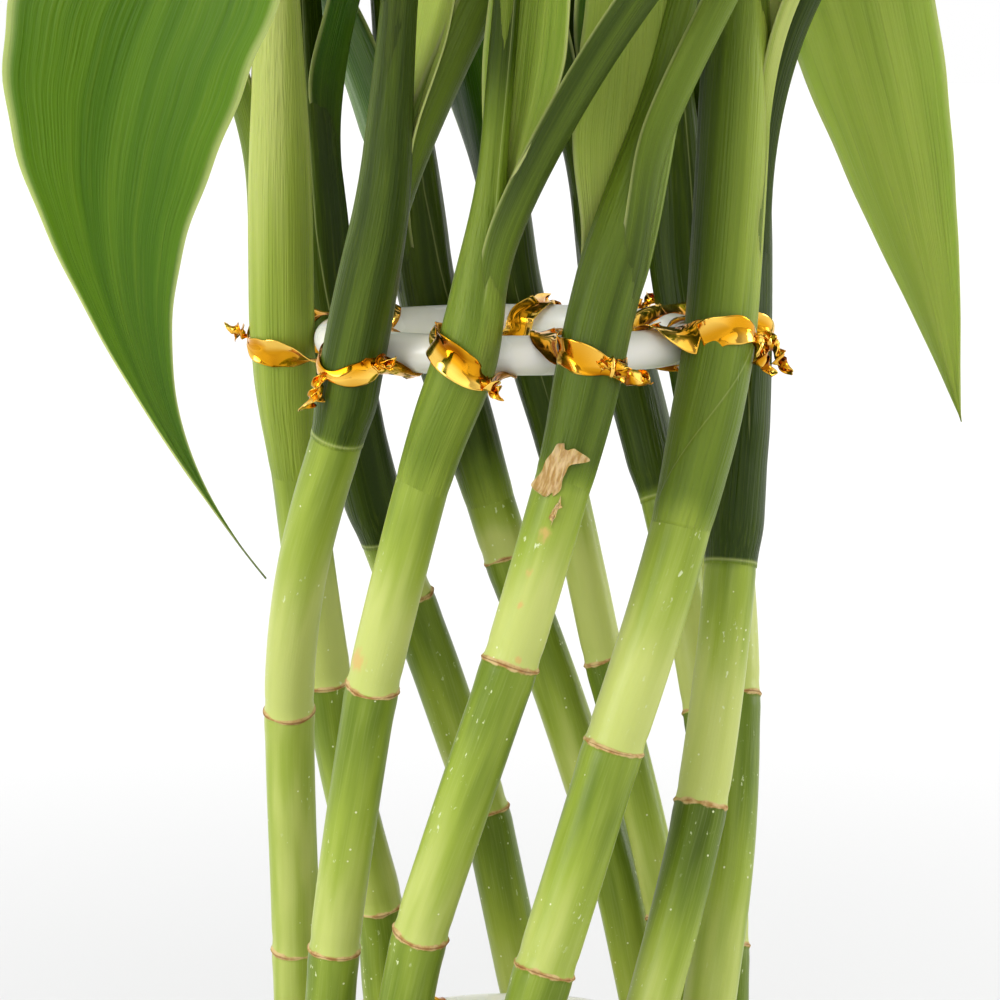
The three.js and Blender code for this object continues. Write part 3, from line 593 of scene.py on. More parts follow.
def stem(stalk, seed):
    """The sheathed stem: a tube that starts at the cane's surface and swells to its full width. Its
    section is a spiral of one turn, so the outer sheath's free edge stands proud where the turn closes.
    The columns of the grid follow that edge as it winds up the stem. Furrows run along it."""
    start = stalk["sheath"]
    fine = np.arange(start - 0.4, FINE_BELOW, 0.8)
    height = np.concatenate([fine, np.arange(FINE_BELOW, stalk["tip"] + 0.1, 1.6)])
    centre, _, out, side = stalk_frame(stalk, height)
    z = height[:, None]
    spiral = np.linspace(0, 1, STEM_COLUMNS)[None, :] * (2 * math.pi - 0.05)
    (low, first), (high, last) = stalk["lap"]
    turn = spiral + np.radians(np.interp(height, (low, high), (first, last)))[:, None]
    radius = skin_radius(stalk, height)[:, None]
    shown = smoothstep(z, low - 2, low + 8)
    lap = LAP_RISE * shown * (1 - spiral / (2 * math.pi)) ** 2
    lap = lap - LAP_GROOVE * shown * bell(spiral, 0.05)
    ribs = wobble(seed, 7 * np.cos(turn), 7 * np.sin(turn), z / 60, waves=9, spread=1.6)
    ribs = stalk["ribs"] * smoothstep(z, start + 6, start + 40) * ribs
    radii = radius * (1 + 0.01 * np.cos(2 * turn + seed)) + lap + ribs
    edge = 0.6 * shown * bell(spiral, 0.045)
    if not soft_start(stalk):
        edge = np.maximum(edge, 0.7 * bell(z - start - 0.4, 0.35))
    return tube(swept(centre, out, side, radii, turn), tone=shoot_tone(stalk, seed, z, turn),
                edge=edge, dry=0.0, grain=wrapped(radius, turn, z, seed))


def scrap(stalk, seed, low, high, middle, spread_angle):
    """A papery scrap of a dead sheath that clings to the stem: a thin patch of its surface between two
    heights, wide on the left at its foot, with a torn point on the right near its top, lifting at
    its edges."""
    v, u = np.linspace(0, 1, 40)[:, None], np.linspace(-1, 1, 28)[None, :]
    torn = 0.10 * wobble(seed, 9 * v, waves=6, spread=1.2)
    left = 0.95 * np.clip(1 - v, 0, 1) ** 0.45 * smoothstep(v, -0.05, 0.12) + torn
    right = 0.05 + 0.95 * bell(v - 0.84, 0.13) + 0.20 * np.sin(math.pi * v) + torn
    height = low + (high - low) * v + 0.7 * wobble(seed + 2, 2.5 * u, waves=4, spread=1.2) * (2 * v - 1)
    turn = np.radians(middle + spread_angle * np.where(u < 0, u * left, u * right))
    centre, _, out, side = stalk_frame(stalk, height)
    curl = 0.35 * np.abs(u) ** 3 * (1 + wobble(seed + 4, 6 * v, 3 * u))
    lift = skin_radius(stalk, height) + 0.35 + curl + 0.12 * wobble(seed, 9 * v, 6 * u)
    ring = np.cos(turn)[..., None] * out + np.sin(turn)[..., None] * side
    over, under = [centre + ring * r[..., None] for r in (lift, lift - SCRAP_SHEET)]
    place = wrapped(6, turn, height, 7.5)
    return tube(there_and_back(over, under), tone=0.3, dry=1.0, grain=there_and_back(place, place))


# ---------------------------------------------------------------- rings and ties


def plastic_ring(height, seed):
    """A torus with a very slight unevenness of the tube."""
    turn = once_round(144)
    centre = compass(np.degrees(turn)) * RING_RADIUS + [0, 0, height]
    out = compass(np.degrees(turn))
    up = np.broadcast_to([0.0, 0.0, 1.0], out.shape)
    radii = RING_TUBE_RADIUS * (1 + 0.006 * wobble(seed, np.cos(turn), np.sin(turn), spread=3))
    shape = swept(centre, out, up, np.repeat(radii[:, None], 28, 1))
    return tube(shape[::-1], loop=True)


def through(points, step):
    """An even run of points on a smooth curve through the given ones (a Catmull-Rom spline)."""
    points = np.asarray(points, float)
    padded = np.concatenate([2 * points[:1] - points[1:2], points, 2 * points[-1:] - points[-2:-1]])
    t = np.linspace(0, 1, 24, endpoint=False)[:, None]
    runs = []
    for a, b, c, d in zip(padded, padded[1:], padded[2:], padded[3:]):
        square, cube = 2 * a - 5 * b + 4 * c - d, 3 * b - a - 3 * c + d
        runs.append(0.5 * (2 * b + (c - a) * t + square * t**2 + cube * t**3))
    curve = np.concatenate([*runs, points[-1:]])
    far = travelled(curve)
    return along_line(np.linspace(0, far[-1], max(6, int(far[-1] / step))), far, curve)


FOIL_COLUMNS = 19
FOIL_SHEET = 0.16
FOIL_ROOM = 0.45                    # the crumpled film keeps this far from what it goes round
FRONT_SHARE = 0.40                  # of the strip's length crosses the front of the stalk


def foil(points, faces, width, twist, seed, pleat=0.40, crush=0.018):
    """A strip of film along a run of points. Each row lies across the run, turned by twist and as wide
    as width says. Folds run along it: each adds |u - f|, a sharp V at a line f that wanders from side to
    side. Finer creases cross it on the slant. The hollows of the folds are marked dark and the ridges
    light for the material: painted shade in the folds and a painted highlight on the ridges."""
    s, run = np.linspace(0, 1, len(points)), travelled(points)
    along = unit(np.gradient(points, axis=0))
    up = without(faces, along)
    across = np.cross(up, along)
    turn = np.broadcast_to(twist(s), s.shape)[:, None]
    across, up = across * np.cos(turn) + up * np.sin(turn), up * np.cos(turn) - across * np.sin(turn)
    half = np.broadcast_to(width(s), s.shape)[:, None] / 2
    u = np.linspace(-1, 1, FOIL_COLUMNS)[None, :]
    draw = np.random.default_rng(seed)
    lift = 0
    for k in range(4):
        fold = draw.uniform(-0.8, 0.8) + 0.4 * wobble(seed + k, run / 3.0, waves=3)
        lift = lift + draw.choice((-1, 1)) * draw.uniform(0.4, 1.0) * np.abs(u - fold[:, None])
    lift = 0.6 * (lift - lift.mean(1, keepdims=True))
    # painted shade and painted highlight: the film is marked darker down in the folds and paler on the
    # ridges
    painted_fold_light = np.clip(0.60 + 0.7 * lift, 0, 1)
    lift = pleat * half * lift
    far = run[:, None]
    creases = np.abs(wobble(seed + 5, far * 1.1, half * u * 1.3, waves=4, spread=1.2)) - 0.7
    fine = np.abs(wobble(seed + 6, far * 2.6, half * u * 2.2, waves=4, spread=1.2)) - 0.7
    pull = 1 + 0.06 * wobble(seed + 2, far / 2.0, waves=3)
    sheet = points[:, None] + (u * half * pull)[..., None] * across[:, None]
    sheet = sheet + (lift + crush * (creases + 0.25 * fine))[..., None] * up[:, None]
    face = unit(np.cross(np.gradient(sheet, axis=0), np.gradient(sheet, axis=1)))
    offset = face * FOIL_SHEET / 2
    return tube(there_and_back(sheet - offset, sheet + offset), tone=there_and_back(painted_fold_light, painted_fold_light))


def tail(start, reach, droop, seed):
    """A loose end: two strands of film wound round each other, which flare at the tip."""
    reach = np.array(reach)
    bow = np.array([0, 0, droop])
    line = through([start, start + reach * 0.3 + bow, start + reach * 0.68 + bow * 0.6, start + reach], 0.16)
    along = unit(np.gradient(line, axis=0))
    level = np.broadcast_to(np.array([0.3, 0.2, 1.0]), line.shape)
    up = without(level, along)
    side = np.cross(along, up)
    s = np.linspace(0, 1, len(line))[:, None]
    draw = np.random.default_rng(seed)
    turns = draw.uniform(0.7, 1.2) * 2 * math.pi
    strands = []
    for k in range(2):
        phase = turns * s + k * math.pi + draw.uniform(0, 0.8)
        wound = 0.35 + 0.75 * s
        spots = line + wound * (np.cos(phase) * up + np.sin(phase) * side)
        length = 1 - 0.22 * k
        kept = slice(0, max(6, int(len(spots) * length)))
        strands.append(foil(spots[kept], up[kept], lambda t: 1.7 + 1.6 * t**1.5,
                            lambda t: turns * t + k * 1.2, seed + k, 0.8, 0.26))
    return strands


def tie(stalk, ring_height, radius, slant, sag, band, tails, seed):
    """One strip of film: it crosses the front of the stalk on a slant, passes over the ring on one side
    and under it on the other and is drawn together behind it. It is narrow at the knot, where its ends
    are twisted into tails."""
    centre = stalk_centre(stalk, ring_height)
    _, direction, _, _ = stalk_frame(stalk, ring_height)
    out = unit(centre * [1, 1, 0])
    right = np.array([-out[1], out[0], 0])
    lean = float(direction @ right / direction[2])
    gap = radius + CLEARANCE + FOIL_ROOM
    wide = gap * math.hypot(1, lean)
    back = radius + CLEARANCE + RING_TUBE_RADIUS
    reach = RING_TUBE_RADIUS + CLEARANCE + FOIL_ROOM

    def place(x, y, z):
        return centre + right * x + out * y + np.array([0, 0, z])

    def front(t):
        """The place at the angle t round the front of the stalk, and the direction it faces."""
        lift = sag * math.cos(t) - slant * math.sin(t)
        spot = place(math.sin(t) * wide + lean * lift, math.cos(t) * gap, lift)
        return spot, right * math.sin(t) + out * math.cos(t)

    key = [front(t) for t in np.radians(np.linspace(-90, 90, 9))]
    for t in np.radians(np.linspace(0, 180, 9)):
        side = math.copysign(abs(math.cos(t)) ** 1.8, math.cos(t))
        lift = -reach * math.cos(t)
        spot = place(side * wide * 0.96 + lean * lift, -back - reach * math.sin(t), lift)
        key.append((spot, -out * math.sin(t) - np.array([0, 0, 1]) * math.cos(t)))
    spots, faces = [np.array(given) for given in zip(*key)]
    closed = through(np.concatenate([spots, spots[:1]]), 0.3)
    looks = through(np.concatenate([faces, faces[:1]]), 0.002)
    looks = looks[np.linspace(0, len(looks) - 1, len(closed)).astype(int)]
    knot = (tails[0][0] + 90) / 180 * FRONT_SHARE

    def width(s):
        return band * (1 - 0.55 * bell(s - knot, 0.06) - 0.12 * np.cos(14 * s + seed))

    grids = [foil(closed, looks, width, lambda s: 0.14 * np.sin(9 * s + seed), seed)]
    for k, (angle, (x, y, z)) in enumerate(tails):
        spot, outwards = front(math.radians(angle))
        end = right * x + out * y + np.array([0, 0, z])
        grids += tail(spot + outwards * 0.3, end, 0.6 if z > -5 else -0.4, seed + 40 + 7 * k)
    return grids


# ---------------------------------------------------------------- bowl and pebbles


def turned(profile, columns):
    """A profile of (radius, height) turned once round the axis."""
    profile = np.asarray(profile, float)
    centre = np.stack([np.zeros(len(profile)), np.zeros(len(profile)), profile[:, 1]], -1)
    out = np.broadcast_to([1.0, 0, 0], centre.shape)
    side = np.broadcast_to([0, 1.0, 0], centre.shape)
    return swept(centre, out, side, np.repeat(profile[:, :1], columns, 1))


def wall_profile(inset, floor, steps):
    """A quarter of an ellipse from the floor out and up to the lip, set in by a distance."""
    turn = np.linspace(0, math.pi / 2, steps)
    foot, rim = BOWL_FOOT_RADIUS - inset, BOWL_RIM_RADIUS - inset
    top = BOWL_HEIGHT - BOWL_WALL / 2
    return np.stack([foot + (rim - foot) * np.sin(turn), floor + (top - floor) * (1 - np.cos(turn))], -1)


def bowl():
    """The bowl turned from the middle of its foot out, up the wall, over the round lip and back inside."""
    lip_turn = np.linspace(0, math.pi, 13)[1:-1]
    lip = np.stack([BOWL_RIM_RADIUS - BOWL_WALL / 2 * (1 - np.cos(lip_turn)),
                    BOWL_HEIGHT - BOWL_WALL / 2 * (1 - np.sin(lip_turn))], -1)
    foot = [(0.5, 1.2), (30, 1.2), (36, 1.1), (38, 0.4), (39.5, 0),
            (41, 0), (41.8, 0.3), (42.3, 1.2), (43.2, 2.8)]
    outside, inside = wall_profile(0, BOWL_FOOT_HEIGHT, 48), wall_profile(BOWL_WALL, BOWL_FLOOR, 40)
    floor_inside = [(20, BOWL_FLOOR), (0.5, BOWL_FLOOR)]
    return tube(turned(np.concatenate([foot, outside, lip, inside[::-1], floor_inside]), 128))


BED_RADIUS, BED_DROP = 67, 4
PEBBLE_DRAWS = ((500, 9.5), (1200, 7.5), (2500, 6.0), (3000, 4.6))      # draws and mean radius
CANE_ROOM = 6.6                     # a pebble's middle keeps this and most of its radius from a cane's


def pebble_places():
    """Centres and radii of pebbles drawn over the bed: each draw is kept if it stands clear of the canes
    and of the pebbles kept before it."""
    draw = np.random.default_rng(11)
    canes = np.array([stalk_centre(s, PEBBLE_TOP)[:2] for s in STALKS])
    kept = np.zeros((0, 3))
    for tries, radius in PEBBLE_DRAWS:
        for _ in range(tries):
            size = radius * draw.uniform(0.88, 1.12)
            spot = (BED_RADIUS - size) * math.sqrt(draw.uniform()) * compass(draw.uniform(0, 360))[:2]
            clear = np.linalg.norm(canes - spot, axis=1).min() > CANE_ROOM + 0.80 * size
            apart = np.linalg.norm(kept[:, :2] - spot, axis=1) > 0.86 * (kept[:, 2] + size)
            if clear and apart.all():
                kept = np.vstack([kept, [*spot, size]])
    return kept


def pebble(place, seed):
    """A worn stone: a ball drawn out to three unequal axes, squared a little, with seeded dents."""
    draw = np.random.default_rng(seed)
    polar = np.linspace(0.06, math.pi - 0.06, 13)[::-1]
    turn = once_round(18)
    x = np.sin(polar)[:, None] * np.cos(turn)
    y = np.sin(polar)[:, None] * np.sin(turn)
    z = np.repeat(np.cos(polar)[:, None], len(turn), 1)
    ball = np.stack([x, y, z], -1)
    ball = ball * (1 + 0.07 * wobble(seed, 1.6 * x, 1.6 * y, 1.6 * z, waves=6))[..., None]
    axes = np.array([1.05, draw.uniform(0.72, 0.92), draw.uniform(0.55, 0.72)])
    ball = np.sign(ball) * np.abs(ball) ** 0.92 * axes
    a, b = draw.uniform(0, 6.28), draw.uniform(-0.28, 0.28)
    tilt = np.array([[1, 0, 0], [0, math.cos(b), -math.sin(b)], [0, math.sin(b), math.cos(b)]])
    spin = np.array([[math.cos(a), -math.sin(a), 0], [math.sin(a), math.cos(a), 0], [0, 0, 1]])
    size = place[2]
    centre = np.array([place[0], place[1], PEBBLE_TOP - 0.05 * size + draw.uniform(-1.2, 0.8)])
    return tube(ball @ (spin @ tilt).T * size + centre, tone=draw.uniform(), edge=draw.uniform())


def pebble_bed():
    """The top of the fill, a shallow disc down the inside of the bowl, with the loose pebbles on it."""
    wall = wall_profile(BOWL_WALL + CLEARANCE, BOWL_FLOOR + CLEARANCE, 30)
    wall = wall[wall[:, 1] < PEBBLE_TOP - BED_DROP]
    shares = (0.97, 0.85, 0.7, 0.5, 0.3, 0.1, 0.01)
    top = [(wall[-1, 0] * t, PEBBLE_TOP - BED_DROP + 1.5 * (1 - t**2)) for t in shares]
    profile = np.concatenate([[(0.5, BOWL_FLOOR + CLEARANCE)], wall, top])
    bed = tube(turned(profile, 72), tone=0.35, edge=0.5)
    return [bed] + [pebble(place, 500 + k) for k, place in enumerate(pebble_places())]


# ---------------------------------------------------------------- materials

PALE_GREEN, LIGHT_GREEN, MID_GREEN, DARK_GREEN = "#b9c26c", "#92a43c", "#64791f", "#293b00"
LIME_BLADE, MID_BLADE, DEEP_BLADE = "#a3b44c", "#658719", "#305800"
PAPER_SHADE_REACH = (0.25, 1.10)           # metres from the axis over which the painted shade round the plant fades and the paper gets whiter


def colour(code):
    """An sRGB hex colour as linear red, green, blue and full alpha."""
    values = [int(code[i:i + 2], 16) / 255 for i in (1, 3, 5)]
    return (*[v / 12.92 if v <= 0.04045 else ((v + 0.055) / 1.055) ** 2.4 for v in values], 1.0)


def add(tree, kind, inputs=(), **settings):
    """A node of that kind with its settings. inputs pairs each socket's name or number with a value or,
    where it is another node's output, with a link."""
    made = tree.nodes.new(kind)
    for key, value in settings.items():
        setattr(made, key, value)
    for key, value in dict(inputs).items():
        socket = made.inputs[key]
        if isinstance(value, bpy.types.NodeSocket):
            tree.links.new(value, socket)
        else:
            socket.default_value = value
    return made


def material(name, sockets):
    """A node material with one Principled shader whose constants are set on its own sockets."""
    made = bpy.data.materials.new(name)
    made.use_nodes = True
    body = made.node_tree.nodes["Principled BSDF"]
    for key, value in sockets.items():
        body.inputs[key].default_value = value
    return made, made.node_tree


def dressed(made, base, rough=None, height=None, strength=0.0, depth=0.0):
    """The material with its colour, its roughness and a bump of some depth in metres linked up."""
    tree = made.node_tree
    body = tree.nodes["Principled BSDF"]
    tree.links.new(base, body.inputs["Base Color"])
    if rough is not None:
        tree.links.new(rough, body.inputs["Roughness"])
    if height is not None:
        bump = add(tree, "ShaderNodeBump", {"Height": height, "Strength": strength, "Distance": depth})
        tree.links.new(bump.outputs[0], body.inputs["Normal"])
    return made


def blend(tree, factor, low, high):
    """The colour between two colours, each a hex code or another node's output."""
    low, high = [colour(one) if isinstance(one, str) else one for one in (low, high)]
    return add(tree, "ShaderNodeMix", {0: factor, 6: low, 7: high}, data_type="RGBA").outputs[2]


def spread(tree, value, low, high, first=0.0, last=1.0):
    """A value's stretch from low to high, spread smoothly from first to last."""
    inputs = {0: value, 1: low, 2: high, 3: first, 4: last}
    return add(tree, "ShaderNodeMapRange", inputs, interpolation_type="SMOOTHSTEP").outputs[0]


def paired(tree, operation, a, b):
    """Two values added or multiplied, as the operation says."""
    return add(tree, "ShaderNodeMath", {0: a, 1: b}, operation=operation).outputs[0]


def noise(tree, where, scale, detail, distortion=0.0):
    inputs = {"Vector": where, "Scale": scale, "Detail": detail, "Distortion": distortion}
    return add(tree, "ShaderNodeTexNoise", inputs).outputs[0]


def streaks(tree, grain, stretch, scale, detail=3.0):
    """Noise on the straightened surface, drawn out along it."""
    laid = add(tree, "ShaderNodeMapping", {"Vector": grain, "Scale": (1, 1, stretch)})
    return noise(tree, laid.outputs[0], scale, detail)


def marks_of(tree, *names):
    """The values painted on the piece's points under these names."""
    return [add(tree, "ShaderNodeAttribute", attribute_name=name).outputs["Fac"] for name in names]


def grain_of(tree):
    return add(tree, "ShaderNodeAttribute", attribute_name="grain").outputs["Vector"]


def object_place(tree):
    return add(tree, "ShaderNodeTexCoord").outputs["Object"]


def shifted(tree, value, by, amount):
    """A value moved up and down by up to amount, as the pattern by says."""
    return paired(tree, "ADD", value, spread(tree, by, 0.3, 0.7, -amount, amount))


def stem_greens(tree, tone):
    """The greens of the living stem, from the yellow-green of young tissue to the dark of old sheaths.
    Canes and sheaths share them, so that one passes into the other."""
    green = blend(tree, spread(tree, tone, 0.0, 0.36), PALE_GREEN, LIGHT_GREEN)
    green = blend(tree, spread(tree, tone, 0.28, 0.64), green, MID_GREEN)
    return blend(tree, spread(tree, tone, 0.56, 1.0), green, DARK_GREEN)


def cane_skin():
    """Living green bark of a monocot cane: smooth and waxy, so a soft broad sheen; pale just above each
    leaf scar and deep green just below it, with corky tan scars and a few scuffs."""
    made, tree = material("waxy_green_bark", {
        "Subsurface Weight": 0.15, "Subsurface Radius": (0.9, 1.0, 0.3), "Subsurface Scale": 0.0012,
        "Specular IOR Level": 0.32, "IOR": 1.36})
    tone, scar, stain = marks_of(tree, "tone", "edge", "dry")
    grain = grain_of(tree)
    soft = streaks(tree, grain, 0.14, 0.20, 2.0)
    fine = streaks(tree, grain, 0.03, 2.6, 2.0)
    green = stem_greens(tree, shifted(tree, tone, soft, 0.10))
    green = blend(tree, spread(tree, fine, 0.45, 0.75, 0.0, 0.10), green, "#c2cc80")
    # white specks of a third of a millimetre, and dull scuffs of one or two
    dots = add(tree, "ShaderNodeTexVoronoi", {"Vector": grain, "Scale": 0.42, "Randomness": 1.0})
    some = add(tree, "ShaderNodeSeparateColor", {0: dots.outputs["Color"]}).outputs[0]
    dot = spread(tree, dots.outputs["Distance"], 0.07, 0.12, 1.0, 0.0)
    green = blend(tree, paired(tree, "MULTIPLY", dot, spread(tree, some, 0.70, 0.72)), green, "#d6dcb0")
    scuff = spread(tree, streaks(tree, grain, 0.5, 1.1, 4.0), 0.64, 0.70)
    here = spread(tree, streaks(tree, grain, 0.6, 0.09), 0.52, 0.62)
    green = blend(tree, paired(tree, "MULTIPLY", scuff, here), green, "#c9d3a0")
    blotch = paired(tree, "MULTIPLY", stain, streaks(tree, grain, 0.7, 0.8, 4.0))
    green = blend(tree, spread(tree, blotch, 0.12, 0.42, 0.0, 0.7), green, "#cfa565")
    patchy = streaks(tree, grain, 1.4, 0.5, 4.0)
    cork = blend(tree, spread(tree, patchy, 0.35, 0.65), "#a57c46", "#cbb07a")
    cork = blend(tree, spread(tree, scar, 0.90, 1.0, 0.0, 0.7), cork, "#6b4222")
    corky = spread(tree, shifted(tree, scar, patchy, 0.2), 0.35, 0.75)
    uneven = paired(tree, "ADD", fine, streaks(tree, grain, 1, 1.2, 4.0))
    return dressed(made, blend(tree, corky, green, cork), spread(tree, scar, 0.2, 0.7, 0.33, 0.8),
                   uneven, 0.3, 0.00014)


def leaf_skin():
    """Leaf and leaf sheath of the same plant: a cuticle with a satin gloss over fine parallel veins;
    light passes through, so thin parts glow yellow-green. Dead scraps are dull and tan."""
    made, tree = material("glossy_leaf_cuticle", {
        "Subsurface Weight": 0.30, "Subsurface Radius": (0.7, 1.0, 0.15), "Subsurface Scale": 0.0012,
        "Specular IOR Level": 0.30, "IOR": 1.36})
    tone, edge, blade, dry = marks_of(tree, "tone", "edge", "blade", "dry")
    grain = grain_of(tree)
    veins = streaks(tree, grain, 0.012, 2.2)
    uneven = shifted(tree, tone, streaks(tree, grain, 0.03, 0.30, 2.0), 0.07)
    blade_green = blend(tree, spread(tree, uneven, 0.0, 0.45), LIME_BLADE, MID_BLADE)
    blade_green = blend(tree, spread(tree, uneven, 0.4, 1.0), blade_green, DEEP_BLADE)
    green = blend(tree, blade, stem_greens(tree, uneven), blade_green)
    green = blend(tree, spread(tree, veins, 0.5, 0.75, 0.0, 0.10), green, "#8fa02e")
    green = blend(tree, spread(tree, veins, 0.25, 0.45, 0.16, 0.0), green, "#1f3006")
    # the edge mark paints a pale line: on leaves it is a painted rim highlight along the margins, and on
    # stems it is the pale free edge of the outer sheath and the line where the sheaths start
    green = blend(tree, spread(tree, edge, 0.2, 1.0, 0.0, 0.7), green, "#bcc37c")
    fibres = streaks(tree, grain, 0.3, 1.2, 4.0)
    paper = blend(tree, spread(tree, fibres, 0.35, 0.65), "#a8844c", "#d2b684")
    return dressed(made, blend(tree, dry, green, paper), spread(tree, dry, 0.0, 1.0, 0.36, 0.85),
                   veins, 0.8, 0.0004)


def tube_plastic():
    """Extruded natural polyethylene tube: milky, lets light in a little, with a smooth soft gloss."""
    made, tree = material("milky_polyethylene_tube", {
        "Subsurface Weight": 0.55, "Subsurface Radius": (1.0, 0.95, 0.8), "Subsurface Scale": 0.003,
        "IOR": 1.51})
    cloud = noise(tree, object_place(tree), 60.0, 3.0)
    milk = blend(tree, spread(tree, cloud, 0.3, 0.7), "#f3f0e6", "#fbf9f1")
    return dressed(made, milk, spread(tree, cloud, 0.3, 0.7, 0.2, 0.32), cloud, 0.1, 0.0003)


def gold_foil():
    """Metallised gold film, pulled tight and crushed where it is tied: smooth mirror-like stretches with
    broad highlights between creases, painted paler gold there, and painted brown-gold shade down in the
    folds."""
    made, tree = material("metallised_gold_film", {"Metallic": 1.0})
    (tone,) = marks_of(tree, "tone")
    cloud = noise(tree, object_place(tree), 500.0, 3.0)
    # painted shade and highlight: the fold mark paints the hollows brown-gold and the ridges pale gold
    gold = blend(tree, spread(tree, tone, 0.10, 0.50), "#9a5804", "#dd9a18")
    gold = blend(tree, spread(tree, tone, 0.50, 0.95), gold, "#ffcf5e")
    return dressed(made, gold, spread(tree, cloud, 0.35, 0.65, 0.09, 0.20))


def celadon_glaze():
    """Pale celadon on stoneware: a glassy coat, thinner and a little browner over the lip and foot, with
    faint iron specks."""
    made, tree = material("celadon_glaze_on_stoneware", {
        "Coat Weight": 0.4, "Coat Roughness": 0.05, "IOR": 1.52})
    where = object_place(tree)
    height = add(tree, "ShaderNodeSeparateXYZ", {0: where}).outputs[2]
    pool = noise(tree, where, 22.0, 4.0)
    fleck = noise(tree, where, 520.0, 1.0)
    glaze = blend(tree, spread(tree, pool, 0.35, 0.65), "#dde3d6", "#e9ece3")
    lip = spread(tree, height, (BOWL_HEIGHT - 1.6) * MM, BOWL_HEIGHT * MM, 0.0, 0.55)
    glaze = blend(tree, lip, glaze, "#cbbf9f")
    glaze = blend(tree, spread(tree, height, 0.0004, 0.0012, 1.0, 0.0), glaze, "#b99f7c")
    glaze = blend(tree, spread(tree, fleck, 0.70, 0.76, 0.0, 0.35), glaze, "#8d8468")
    return dressed(made, glaze, spread(tree, height, 0.0004, 0.0012, 0.7, 0.12), pool, 0.12, 0.001)


def river_stone():
    """Tumbled river pebbles: matt, each of its own cream, grey or brown, with faint bands."""
    made, tree = material("tumbled_river_stone", {})
    tone, other = marks_of(tree, "tone", "edge")
    where = object_place(tree)
    vein = noise(tree, where, 160.0, 5.0, 1.2)
    grit = noise(tree, where, 1500.0, 2.0)
    stone = blend(tree, spread(tree, tone, 0.0, 0.6), "#e4ded0", "#b9b0a0")
    stone = blend(tree, spread(tree, tone, 0.6, 1.0), stone, "#7e766a")
    stone = blend(tree, spread(tree, other, 0.4, 1.0, 0.0, 0.5), stone, "#b8966c")
    stone = blend(tree, spread(tree, vein, 0.52, 0.60, 0.0, 0.35), stone, "#f0ece2")
    stone = blend(tree, spread(tree, grit, 0.35, 0.7, 0.25, 0.0), stone, "#5c5448")
    return dressed(made, stone, spread(tree, vein, 0.3, 0.7, 0.42, 0.65), grit, 0.2, 0.0002)


def studio_paper():
    """White background paper, matt, painted a little greyer near the plant: painted shade that fades out
    with distance.
    """
    made, tree = material("white_background_paper", {"Roughness": 0.9, "Specular IOR Level": 0.1})
    far = add(tree, "ShaderNodeVectorMath", {0: object_place(tree)}, operation="LENGTH").outputs["Value"]
    # painted shade: the paper is painted greyer near the plant and whiter far from it
    return dressed(made, blend(tree, spread(tree, far, *PAPER_SHADE_REACH), "#dfdfdf", "#f4f4f4"))


# ---------------------------------------------------------------- the plant

BARK, LEAF, PLASTIC, FOIL = cane_skin(), leaf_skin(), tube_plastic(), gold_foil()

piece("glazed_bowl", [bowl()], celadon_glaze(), ["bowl"])
piece("river_pebbles", pebble_bed(), river_stone(), ["pebble_bed"])
piece("lower_tube_ring", [plastic_ring(LOWER_RING_HEIGHT, 3)], PLASTIC, ["lower_ring"])
piece("upper_tube_ring", [plastic_ring(UPPER_RING_HEIGHT, 4)], PLASTIC, ["upper_ring"])

for index, stalk in enumerate(STALKS):
    number, seed = f"{index + 1:02d}", index + 1
    bare, sheathed = stalk["diameter"] / 2, stalk["diameter"] / 2 + SHEATH_THICKNESS
    piece(f"bare_cane_{number}", [cane(stalk, seed)], BARK, [f"cane_{number}"])
    grown = [stem(stalk, seed)]
    for k, one in enumerate(LOW_LEAVES[index] + crown_leaves(stalk, index)):
        grown.append(leaf_sheet(stalk, {**PLAIN_LEAF, **one}, 10 * index + k))
    for k, patch in enumerate(stalk["scraps"]):
        grown.append(scrap(stalk, 60 + k, *patch))
    piece(f"leafy_shoot_{number}", grown, LEAF, [f"shoot_{number}"])
    loose_end = ((90 * scatter(seed), (3.0 * scatter(seed + 20), 3.0, 3.0 * scatter(seed + 40))),)
    low = tie(stalk, LOWER_RING_HEIGHT, bare, LOWER_TIE_SLANT, 0, LOWER_BAND, loose_end, 200 + index)
    high = tie(stalk, UPPER_RING_HEIGHT, sheathed, stalk["slant"], stalk["sag"], stalk["band"],
               stalk["tails"], 300 + index)
    piece(f"lower_foil_{number}", low, FOIL, [f"lower_tie_{number}"])
    piece(f"upper_foil_{number}", high, FOIL, [f"upper_tie_{number}"])

# ---------------------------------------------------------------- floor, light and camera

FLOOR_REACH, FLOOR_DEPTH = 30000.0, 5.0


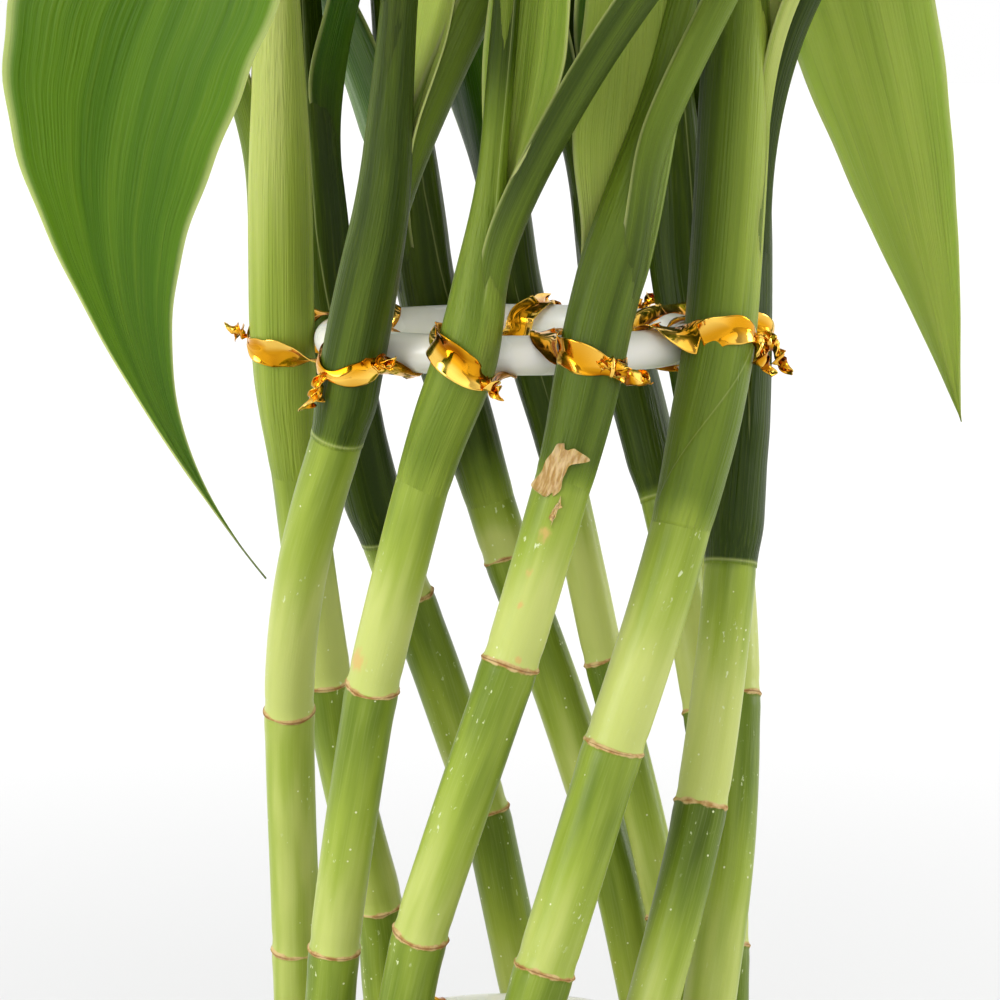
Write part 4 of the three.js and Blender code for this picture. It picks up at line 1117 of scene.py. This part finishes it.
def floor():
    """A level slab, far wider than the view."""
    corners = np.array([(1, -1), (1, 1), (-1, 1), (-1, -1)]) * FLOOR_REACH
    slab = np.stack([np.column_stack([corners, np.full(4, height)]) for height in (-FLOOR_DEPTH, 0.0)])
    made = piece("floor", [tube(slab)], studio_paper(), flat=True)


def sunlight(name, towards, angle, strength):
    """A round soft source far away, in the direction towards, as wide as angle in degrees."""
    lamp = bpy.data.lights.new(name, "SUN")
    lamp.angle, lamp.energy = math.radians(angle), strength
    holder = bpy.data.objects.new(name, lamp)
    bpy.context.scene.collection.objects.link(holder)
    x, y, z = towards
    holder.rotation_euler = (math.atan2(math.hypot(x, y), z), 0, math.atan2(x, -y))


def studio():
    """White walls behind and beside the plant, and a dimmer room in front of it."""
    world = bpy.data.worlds.new("studio")
    world.use_nodes = True
    tree = world.node_tree
    towards = add(tree, "ShaderNodeTexCoord").outputs["Generated"]
    behind = add(tree, "ShaderNodeSeparateXYZ", {0: towards}).outputs[1]
    tree.links.new(spread(tree, behind, -0.85, 0.0, 0.35, 1.0), tree.nodes["Background"].inputs["Strength"])
    tree.nodes["Background"].inputs["Color"].default_value = (1, 1, 1, 1)
    bpy.context.scene.world = world
    bpy.context.scene.view_settings.view_transform = "Standard"


floor()
studio()
sunlight("key", (-0.80, -0.55, 0.36), 34, 1.9)
sunlight("fill", (0.12, -0.85, 0.50), 60, 0.9)
sunlight("rim", (0.95, 0.22, 0.24), 20, 0.9)

# The camera looks down at the front a little, with the cage's axis just right of the middle.
SENSOR, FOCAL_PIXELS, FRAME_PIXELS, AXIS_PIXEL = 36.0, 2945.0, 1000.0, 511.0
CAMERA_PLACE, LOOKING_DOWN = (0, -0.620, 0.298), 8.59
lens = bpy.data.cameras.new("camera")
lens.sensor_width = SENSOR
lens.lens = SENSOR * FOCAL_PIXELS / FRAME_PIXELS
lens.shift_x = -(AXIS_PIXEL - FRAME_PIXELS / 2) / FRAME_PIXELS
lens.clip_start, lens.clip_end = 0.01, 100
camera = bpy.data.objects.new("camera", lens)
camera.location = CAMERA_PLACE
camera.rotation_euler = (math.radians(90 - LOOKING_DOWN), 0, 0)
bpy.context.scene.collection.objects.link(camera)
bpy.context.scene.camera = camera

bpy.context.view_layer.update()
